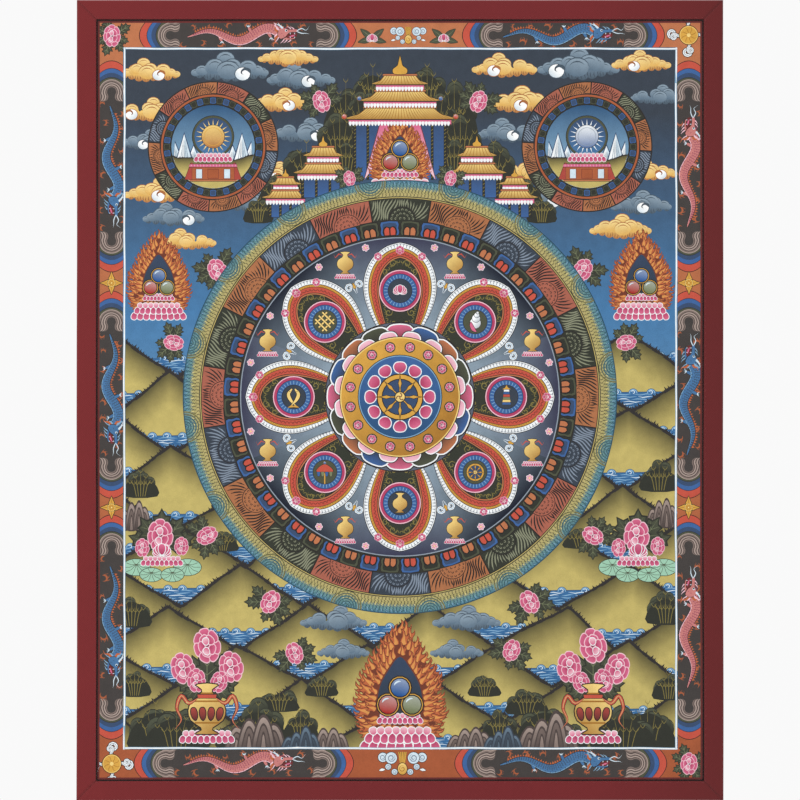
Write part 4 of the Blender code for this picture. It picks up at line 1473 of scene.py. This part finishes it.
def addPiece(name, mesh, material, slot, *nodes):
    mesh.name = name
    mesh.materials.clear()
    mesh.materials.append(material)
    piece = bpy.data.objects.new(name, mesh)
    bpy.context.scene.collection.objects.link(piece)
    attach(piece, "root")
    if nodes:
        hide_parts(*nodes)
    return piece


def meshFrom(name, points, faces, closed=False):
    mesh = bpy.data.meshes.new(name)
    mesh.from_pydata([tuple(p) for p in points], [], [tuple(f) for f in faces])
    if closed:
        shape = bmesh.new()
        shape.from_mesh(mesh)
        bmesh.ops.recalc_face_normals(shape, faces=shape.faces)
        shape.to_mesh(mesh)
        shape.free()
    mesh.shade_smooth()
    return mesh


def onCanvas(points, lift):  # flat millimetres to the hanging cloth, lift metres in front
    x, z = points[:, 0] / 1000, centreZ + points[:, 1] / 1000
    return np.column_stack([x, hangDepth(x, z) - scroll["canvas"] / 2 - lift, z])


def contains(outline, points):
    x, y = points.T
    (xa, ya), (xb, yb) = outline.T[:, :, None], np.roll(outline, -1, 0).T[:, :, None]
    straddles = (ya > y) != (yb > y)
    with np.errstate(divide="ignore", invalid="ignore"):
        left = x < (xb - xa) * (y - ya) / (yb - ya) + xa
    return (straddles & left).sum(axis=0) % 2 == 1


def withoutHidden(near, outlines, lows, highs, layer):
    # drops the dabs that a single later dab of the same film covers
    kept = []
    for place, i in enumerate(near):
        later = near[place + 1:]
        over = later[(layer[later] == layer[i]) & (lows[later] <= lows[i]).all(axis=1)
                     & (highs[later] >= highs[i]).all(axis=1)]
        if len(over):
            ends = outlines[i]
            tried = np.concatenate([ends, (ends + np.roll(ends, 1, 0)) / 2])
            if any(contains(outlines[j], tried).all() for j in over[::-1][:40]):
                continue
        kept.append(i)
    return np.array(kept, int)


def redrawn(places, triangles, ids):
    # the same cell, cut again with only the edges that show between two dabs
    a, b = triangles.ravel(), np.roll(triangles, -1, axis=1).ravel()
    leftOf = np.repeat(ids, 3)
    key, back = a * len(places) + b, b * len(places) + a
    order = np.argsort(key)
    spot = np.searchsorted(key[order], back).clip(max=len(key) - 1)
    other = np.where(key[order][spot] == back, leftOf[order[spot]], -9)
    shows = other != leftOf
    nextTo = {}
    for start, end in zip(a[shows].tolist(), b[shows].tolist()):
        nextTo.setdefault(start, set()).add(end)
        nextTo.setdefault(end, set()).add(start)

    def straight(v):
        if len(nextTo[v]) != 2:
            return False
        p, q = (places[n] - places[v] for n in nextTo[v])
        bend = abs(p[0] * q[1] - p[1] * q[0])
        return p @ q < 0 and bend < 0.002 * math.sqrt((p @ p) * (q @ q))

    passed = {v for v in nextTo if straight(v)}
    kept = {v: i for i, v in enumerate(v for v in nextTo if v not in passed)}
    sides = {}
    for start, end, owner in zip(a[shows].tolist(), b[shows].tolist(), leftOf[shows].tolist()):
        if start in passed:
            continue
        before = start
        while end in passed:
            before, end = end, next(n for n in nextTo[end] if n != before)
        sides[kept[start], kept[end]] = owner
    result = delaunay_2d_cdt([Vector(places[v]) for v in kept], list(
        {tuple(sorted(pair)) for pair in sides}), [], 0, 1e-6, True)
    places = np.array([v[:] for v in result[0]])
    source = [origin[0] if origin else -1 for origin in result[3]]
    triangles = result[2]
    neighbours, ids, waiting = {}, [None] * len(triangles), []
    for i, corners in enumerate(triangles):
        for start, end in zip(corners, corners[1:] + corners[:1]):
            pair = source[start], source[end]
            if pair in sides:
                ids[i] = sides[pair]
            elif pair[::-1] not in sides:
                neighbours.setdefault((min(start, end), max(start, end)), []).append(i)
    beside = {}
    for pair in neighbours.values():
        if len(pair) == 2:
            beside.setdefault(pair[0], []).append(pair[1])
            beside.setdefault(pair[1], []).append(pair[0])
    waiting = [i for i, owner in enumerate(ids) if owner is not None]
    while waiting:
        i = waiting.pop()
        for j in beside.get(i, ()):
            if ids[j] is None:
                ids[j] = ids[i]
                waiting.append(j)
    return places, np.array(triangles), np.array([-1 if owner is None else owner for owner in ids])


def topmost(middle, near, outlines, lows, highs, layer, mine):  # the last dab over each spot
    highest, waiting = np.full(len(middle), -1), np.arange(len(middle))
    for i in near[::-1]:
        spots = middle[waiting]
        close = waiting[((spots > lows[i]) & (spots < highs[i])).all(axis=1)
                        & (mine[waiting] == layer[i])]
        if len(close):
            highest[close[contains(outlines[i], middle[close])]] = i
            waiting = waiting[highest[waiting] < 0]
    return highest


def cutIntoFilms(films, cell=20.0):
    # The skin of paint, cut cell by cell so that every spot belongs to the topmost dab there.
    # films is a list of (stamp, which middles are its own); returns for each film its
    # triangles' corners, in millimetres, and their colours.
    stamp = [piece for part, inside in films for piece in part]
    layer = np.repeat(np.arange(len(films)), [len(part) for part, inside in films])
    outlines = [o[np.linalg.norm(o - np.roll(o, 1, 0), axis=1) > 1e-4] for o, paint in stamp]
    lows = np.array([outline.min(axis=0) for outline in outlines])
    highs = np.array([outline.max(axis=0) for outline in outlines])
    paints = np.array([paint for outline, paint in stamp])
    legs = [np.stack([o, np.roll(o, -1, 0)], axis=1) for o in outlines]
    x, y = paintedHalf
    found = [[] for part in films]
    for left in np.arange(-x - 2, x + 2, cell):
        for foot in np.arange(-y - 2, y + 2, cell):
            low = np.array([left, foot])
            high = np.minimum(low + cell, (x + 2, y + 2))
            near = np.nonzero((lows < high).all(axis=1) & (highs > low).all(axis=1))[0]
            near = withoutHidden(near, outlines, lows, highs, layer)
            rim = np.array([low, (high[0], foot), high, (left, high[1])])
            lines = np.concatenate([seams, *(legs[i] for i in near)])
            lines = lines[(lines.min(axis=1) < high).all(axis=1) & (lines.max(axis=1) > low).all(axis=1)]
            lines = np.concatenate([np.stack([rim, np.roll(rim, -1, 0)], axis=1), lines])
            result = delaunay_2d_cdt([Vector(p) for p in lines.reshape(-1, 2)],
                                     [(i, i + 1) for i in range(0, 2 * len(lines), 2)], [],
                                     0, 1e-5, False)
            places, triangles = np.array([v[:] for v in result[0]]), np.array(result[2])
            middle = places[triangles].mean(axis=1)
            own = (middle > low).all(axis=1) & (middle < high).all(axis=1)
            triangles, middle = triangles[own], middle[own]
            mine = np.select([inside(middle) for part, inside in films], range(len(films)), -1)
            highest = topmost(middle, near, outlines, lows, highs, layer, mine)
            places, triangles, highest = redrawn(places, triangles, highest)
            corners = places[triangles]
            sideA, sideB = corners[:, 1] - corners[:, 0], corners[:, 2] - corners[:, 0]
            solid = np.abs(sideA[:, 0] * sideB[:, 1] - sideA[:, 1] * sideB[:, 0]) > 1e-7
            kept = (highest >= 0) & solid
            corners, highest = corners[kept], highest[kept]
            mine = layer[highest]
            known = np.concatenate([np.ones_like(corners[:, :, :1]), corners], axis=2)
            colours = np.einsum("tci,tij->tcj", known, paints[highest]).clip(0, 1)
            for i, part in enumerate(found):
                part.append((corners[mine == i], colours[mine == i]))
    return [[np.concatenate(part) for part in zip(*parts)] for parts in found]


def makeFilm(name, corners, colours, material):
    places, triangles = np.unique(np.round(corners.reshape(-1, 2), 4), axis=0, return_inverse=True)
    triangles = triangles.ravel()
    mesh = cornerMesh(name, onCanvas(places, filmLift), triangles,
                      np.arange(0, len(triangles), 3), colours)
    low, high = places.min(axis=0), places.max(axis=0)
    bakeMap = mesh.uv_layers.new(name="OFBake")
    bakeMap.data.foreach_set("uv", ((places[triangles] - low) / (high - low)).ravel())
    mesh.validate()
    mesh.shade_smooth()
    print("film", name, len(triangles) // 3, "triangles")
    return addPiece(name, mesh, material, "painted_canvas")


filmLift = 0.00006                 # the paint lies this far in front of the canvas


def makeCanvas(material):
    columns, rows = 44, 54
    x = np.linspace(canvasLow.x, canvasHigh.x, columns + 1)
    z = np.linspace(canvasLow.z, canvasHigh.z, rows + 1)
    x, z = (a.ravel() for a in np.meshgrid(x, z))
    faces = [(i, i + 1, i + columns + 2, i + columns + 1)
             for row in range(rows) for i in range(row * (columns + 1), row * (columns + 1) + columns)]
    mesh = meshFrom("cottonCanvas", np.column_stack([x, hangDepth(x, z), z]), faces)
    carrier = bpy.data.objects.new("cottonCanvas", mesh)
    bpy.context.scene.collection.objects.link(carrier)
    wall = carrier.modifiers.new("thickness", "SOLIDIFY")
    wall.thickness, wall.offset = scroll["canvas"], 0.0
    return addPiece("cottonCanvas", finishedMesh(carrier), material, "painted_canvas", "canvas_panel")


strip = {
    "stationSpacing": 0.003,
    "seamGap": 0.00003,            # between two strips at a mitre
    "stitchSpacing": 0.0042,
    "pucker": 0.00007,             # the cloth swells this much between stitches
    "waver": 0.00012,              # the folded edges aren't ruled
}
edges = {  # direction along the edge and direction in from it
    "top": ((1, 0), (0, -1)),
    "right": ((0, -1), (-1, 0)),
    "bottom": ((-1, 0), (0, 1)),
    "left": ((0, 1), (1, 0)),
}


def edgeFrame(name):  # middle of the edge, its directions and its length, in X and Z
    alongEdge, inward = np.array(edges[name], float)
    half = np.array([scroll["width"], scroll["height"]]) / 2
    middle = np.array([0, centreZ]) - inward * half
    return middle, alongEdge, inward, float(abs(alongEdge) @ half) * 2


def onBorder(name, run, inset, depth):  # points that far along, in from and behind an edge
    middle, alongEdge, inward = edgeFrame(name)[:3]
    x = middle[0] + run * alongEdge[0] + inset * inward[0]
    z = middle[1] + run * alongEdge[1] + inset * inward[1]
    return np.stack([x, depth + hangDepth(x, z), z], axis=-1)


def foldProfile():  # closed section of a folded strip, (inset, depth), from its inner front edge
    cloth, fold = scroll["cloth"], scroll["canvas"] / 2 + scroll["clearance"]
    outer, middle = fold + cloth, fold + cloth / 2
    width = scroll["border"]
    frontRoll = arc(cloth / 2, 90, -90, 7, (width - cloth / 2, -middle))
    frontFlat = np.column_stack([np.linspace(width - 0.0012, 0.0028, 7), np.full(7, -outer)])
    fullFold = arc(outer, -90, -270, 13, (outer, 0))
    backFlat = frontFlat[::-1] * (1, -1)
    backRoll = arc(cloth / 2, 90, -90, 7, (width - cloth / 2, middle))
    innerBack = [(width * 0.5, fold)]
    innerFold = arc(fold, 90, 270, 7, (outer, 0))
    innerFront = [(width * 0.5, -fold)]
    return np.concatenate([frontRoll, frontFlat, fullFold, backFlat, backRoll,
                           innerBack, innerFold, innerFront])


def tubeFaces(count, around):  # a closed skin over rings of points, with count spaces between
    faces = [(row + i, row + j, row + around + j, row + around + i)
             for row in range(0, count * around, around)
             for i, j in zip(range(around), [*range(1, around), 0])]
    return faces + [tuple(reversed(range(around))), tuple(range(count * around, (count + 1) * around))]


def makeStrip(name, material):
    length = edgeFrame(name)[3]
    profile = foldProfile()
    count = int(length / strip["stationSpacing"])
    share = np.linspace(-1, 1, count + 1)[:, None]
    inset, depth = profile.T
    dice = np.random.default_rng(len(name))
    waver = np.convolve(dice.normal(size=count + 13), np.hanning(13) / 6, "valid")[:count + 1, None]
    run = share * (length / 2 - inset - strip["seamGap"])
    nearInner = (inset / scroll["border"]) ** 3
    swell = strip["pucker"] * np.abs(np.sin(math.pi * run / strip["stitchSpacing"])) * nearInner
    shift = strip["waver"] * waver * np.sin(math.pi * (share + 1) / 2)
    puffed = np.abs(depth) > scroll["cloth"]
    points = onBorder(name, run, inset + shift * (0.3 + 0.7 * nearInner), depth)
    points[..., 1] += np.sign(depth) * swell * puffed
    around = len(profile)
    mesh = meshFrom("redStrip", points.reshape(-1, 3), tubeFaces(count, around), closed=True)
    legs = np.diff(profile, axis=0, append=profile[:1])
    girth = np.concatenate([[0], np.cumsum(np.linalg.norm(legs, axis=1))])
    threads = mesh.uv_layers.new(name="clothMap")
    bake = mesh.uv_layers.new(name="OFBake")
    for face in mesh.polygons:
        wrapped = face.index % around == around - 1 and face.index < count * around
        for loop, vertex in zip(face.loop_indices, face.vertices):
            row, column = divmod(vertex, around)
            across = girth[around] if wrapped and column == 0 else girth[column]
            threads.data[loop].uv = (run[row, column], across)
            bake.data[loop].uv = (row / count, across / girth[-1])
    return addPiece(f"redStrip_{name}", mesh, material, "red_cloth", f"border_{name}")


piping = {
    "inset": 0.01352,              # its middle, from the outer fold of the border
    "strandSpacing": 0.0008,
    "pitch": 0.0032,               # one turn of the twist
    "strands": 2,
    "bendRadius": 0.0007,
}


def makeCordTree():
    # strands twisted round a path that lies in the cloth's plane
    tree, given = newTree("twistedCord", {
        "Geometry": "Geometry", "Spacing": "Float", "Turns": "Float", "Radius": "Float",
        "Strand": "Float", "Phase": "Float", "Material": "Material"})
    even = addNode(tree, "GeometryNodeResampleCurve",
                   {"Curve": given["Geometry"], "Length": given["Spacing"]}, mode="LENGTH")
    share = addNode(tree, "GeometryNodeSplineParameter").outputs["Factor"]
    turned = addNode(tree, "ShaderNodeMath", {0: share, 1: given["Turns"]}, operation="MULTIPLY")
    angle = addNode(tree, "ShaderNodeMath", {0: turned, 1: 2 * math.pi, 2: given["Phase"]},
                    operation="MULTIPLY_ADD")
    tangent = addNode(tree, "GeometryNodeInputTangent")
    across = addNode(tree, "ShaderNodeVectorMath", {0: tangent, 1: (0, -1, 0)},
                     operation="CROSS_PRODUCT")
    swings = (addNode(tree, "ShaderNodeMath", {0: angle}, operation=wave)
              for wave in ("COSINE", "SINE"))
    reach, rise = [addNode(tree, "ShaderNodeMath", {0: swing, 1: given["Radius"]},
                           operation="MULTIPLY") for swing in swings]
    sideways = addNode(tree, "ShaderNodeVectorMath", {0: across, "Scale": reach}, operation="SCALE")
    forward = addNode(tree, "ShaderNodeCombineXYZ", {"Y": rise})
    offset = addNode(tree, "ShaderNodeVectorMath", {0: sideways, 1: forward}, operation="ADD")
    wound = addNode(tree, "GeometryNodeSetPosition", {"Geometry": even, "Offset": offset})
    section = addNode(tree, "GeometryNodeCurvePrimitiveCircle",
                      {"Resolution": 5, "Radius": given["Strand"]})
    tube = addNode(tree, "GeometryNodeCurveToMesh", {"Curve": wound, "Profile Curve": section})
    return endTree(tree, tube, given["Material"])


def makePiping(material):
    inset, bend, thickness = piping["inset"], piping["bendRadius"], scroll["piping"]
    half = np.array([scroll["width"] / 2 - inset - bend, scroll["height"] / 2 - inset - bend])
    path = []
    for start, (sx, sz) in ((0, (1, 1)), (90, (-1, 1)), (180, (-1, -1)), (270, (1, -1))):
        corner = half * (sx, sz)
        path += list(arc(bend, start, start + 90, 5, corner))
        following = half * ((-sx, sz) if sx == sz else (sx, -sz))
        edgeWay = np.radians(start + 90)
        side = bend * np.array([math.cos(edgeWay), math.sin(edgeWay)])
        path += [corner + side + (following - corner) * s for s in np.linspace(0, 1, 32)[1:-1]]
    path = np.array(path)
    perimeter = np.linalg.norm(np.diff(path, axis=0, append=path[:1]), axis=1).sum()
    tree, parts = makeCordTree(), []
    for i in range(piping["strands"]):
        carrier = pathObject("strand", onCanvas(path * 1000, filmLift + thickness / 2), closed=True)
        parts.append(grown(tree, carrier, {
            "Spacing": piping["strandSpacing"], "Turns": float(round(perimeter / piping["pitch"])),
            "Radius": thickness * 0.25, "Strand": thickness * 0.27,
            "Phase": 2 * math.pi * i / piping["strands"], "Material": material}))
    joined = joinMeshes("blackPiping", parts)
    return addPiece("blackPiping", joined, material, "black_piping",
                    "piping_top", "piping_right", "piping_bottom", "piping_left")


def joinMeshes(name, meshes):
    points, faces = [], []
    for mesh in meshes:
        base = len(points)
        points += [v.co[:] for v in mesh.vertices]
        faces += [[base + v for v in polygon.vertices] for polygon in mesh.polygons]
        bpy.data.meshes.remove(mesh)
    return meshFrom(name, points, faces)


stitch = {
    "length": 0.0019,
    "thickness": 0.00032,
    "inset": 0.0119,               # from the outer fold of the border
    "slant": 0.0002,
    "fromCorner": 0.002,
}


def makeStitches(material):
    # slip stitches that hold the folded edge down, small slanted ones just in from it
    s, around = np.linspace(-1, 1, 5), 5
    lift = scroll["canvas"] / 2 + scroll["clearance"] + scroll["cloth"]
    bow = stitch["thickness"] * (0.75 * (1 - s * s) - 0.4)
    line = np.column_stack([s * stitch["length"] / 2, -lift - bow, -stitch["slant"] * s])
    tangent = np.gradient(line, axis=0)
    tangent /= np.linalg.norm(tangent, axis=1)[:, None]
    side = np.cross(tangent, (0, -1, 0))
    side /= np.linalg.norm(side, axis=1)[:, None]
    up = np.cross(side, tangent)
    taper = stitch["thickness"] / 2 * np.array([0.55, 1, 1, 1, 0.55])[:, None]
    turns = 2 * math.pi * np.arange(around) / around
    points = np.stack([line + taper * (math.cos(turn) * side + math.sin(turn) * up)
                       for turn in turns], axis=1).reshape(-1, 3)
    shape = meshFrom("stitch", points, tubeFaces(len(s) - 1, around), closed=True)
    motif = bpy.data.objects.new("stitch", shape)
    paths = []
    for name in edges:
        reach = edgeFrame(name)[3] / 2 - stitch["inset"] - stitch["fromCorner"]
        paths.append(onBorder(name, np.linspace(-reach, reach, 200), stitch["inset"], 0))
    mesh = grown(makePathTree("stitchesAlongEdges", "Y", "Z"), pathObject("stitchLines", *paths), {
        "Motif": motif, "Spacing": strip["stitchSpacing"], "Sway": 0.0, "Material": material})
    bpy.data.meshes.remove(shape)
    return addPiece("slipStitches", mesh, material, "red_cloth")


paintMaterial = makePaintMaterial()
clothMaterial = makeClothMaterial()
canvasMaterial = makeCanvasMaterial()
cordMaterial = makeCordMaterial("twistedBlackCotton", "120908", 0.62)
threadMaterial = makeCordMaterial("redSewingCotton", "7c3234", 0.7)

canvas = makeCanvas(canvasMaterial)
print("canvas made")


def inRing(centres):
    return contains(ringEdge, centres)


def inPalace(centres):
    return contains(palaceEdge, centres)


def nearRing(centres):
    return np.hypot(centres[:, 0] - ringCentre[0], centres[:, 1] - ringCentre[1]) < ringRadius + 1


def inPicture(centres):
    x0, x1, y0, y1 = pictureBox
    return ((centres[:, 0] > x0) & (centres[:, 0] < x1) & (centres[:, 1] > y0) & (centres[:, 1] < y1))


def outside(stamp, hidden):  # without the dabs that lie wholly in a place another film has
    return [(outline, paint) for outline, paint in stamp if not hidden(outline).all()]


x0, x1, y0, y1 = pictureBox
pictureEdge = np.array([(x0, y0), (x1, y0), (x1, y1), (x0, y1)])
ringEdge = circle(ringRadius, 192, ringCentre)
palaceEdge = circle(groundRadius, 128, ringCentre)
seams = np.concatenate([np.stack([edge, np.roll(edge, -1, 0)], axis=1) for edge in (
    pictureEdge, ringEdge, palaceEdge, np.array([(0, y0), (0, y1)]))])
ground = gridOf(*wholeFace, flat("slate"))
mandala = outside(ground + paintMandala(), lambda at: ~nearRing(at))
names = ("paintedPalace", "paintedRing", "paintedLeft", "paintedRight", "paintedBand")
picture = outside(paintPicture(), inRing)
plans = [
    (mandala, inPalace),
    (mandala, lambda at: inRing(at) & ~inPalace(at)),
    (picture, lambda at: inPicture(at) & ~inRing(at) & (at[:, 0] < 0)),
    (picture, lambda at: inPicture(at) & ~inRing(at) & (at[:, 0] > 0)),
    (outside(paintBand(), inPicture), lambda at: ~inPicture(at)),
]
print("painting planned", [len(stamp) for stamp, inside in plans], "dabs")
films = [makeFilm(name, *part, paintMaterial) for name, part in zip(names, cutIntoFilms(plans))]
strips = [makeStrip(name, clothMaterial) for name in edges]
cord = makePiping(cordMaterial)
stitches = makeStitches(threadMaterial)
print("border made")


# A pale floor, soft light from the left, and the camera square to the middle of the scroll

stage = {
    "floorDrop": 0.25,
    "floorHalf": 1.2,
    "floorTone": 0.86,
    "skyStrength": 0.95,
    "lightAt": (-1.3, -1.5, 0.5),
    "lightSize": 1.2,
    "lightPower": 9.0,
    "lens": 135.0,
    "sensor": 36.0,
}

floorZ = -scroll["height"] - stage["floorDrop"]
reach = stage["floorHalf"]
floorMesh = meshFrom("paleFloor", [(-reach, -reach, floorZ), (reach, -reach, floorZ),
                                   (reach, reach, floorZ), (-reach, reach, floorZ)],
                     [(0, 1, 2, 3)])
floorMaterial, floorTree, floorShader = newMaterial("paleFloor", 0.8)[:3]
feed(floorTree, floorShader, {"Base Color": (*[stage["floorTone"]] * 3, 1)})
floorMesh.materials.append(floorMaterial)
floor = bpy.data.objects.new("paleFloor", floorMesh)
bpy.context.scene.collection.objects.link(floor)

scene = bpy.context.scene
scene.view_settings.view_transform = "Standard"
scene.world = bpy.data.worlds.new("paleStudio")
scene.world.use_nodes = True
feed(scene.world.node_tree, scene.world.node_tree.nodes["Background"],
     {"Color": (1, 1, 1, 1), "Strength": stage["skyStrength"]})

lightData = bpy.data.lights.new("softLight", "AREA")
lightData.size, lightData.energy = stage["lightSize"], stage["lightPower"]
light = bpy.data.objects.new("softLight", lightData)
light.location = stage["lightAt"]
light.rotation_mode = "QUATERNION"
light.rotation_quaternion = (Vector((0, 0, centreZ)) - light.location).to_track_quat("-Z", "Y")
scene.collection.objects.link(light)

cameraData = bpy.data.cameras.new("camera")
cameraData.lens, cameraData.sensor_width = stage["lens"], stage["sensor"]
camera = bpy.data.objects.new("camera", cameraData)
camera.location = (0, -scroll["height"] * stage["lens"] / stage["sensor"], centreZ)
camera.rotation_euler = (math.pi / 2, 0, 0)
scene.collection.objects.link(camera)
scene.camera = camera
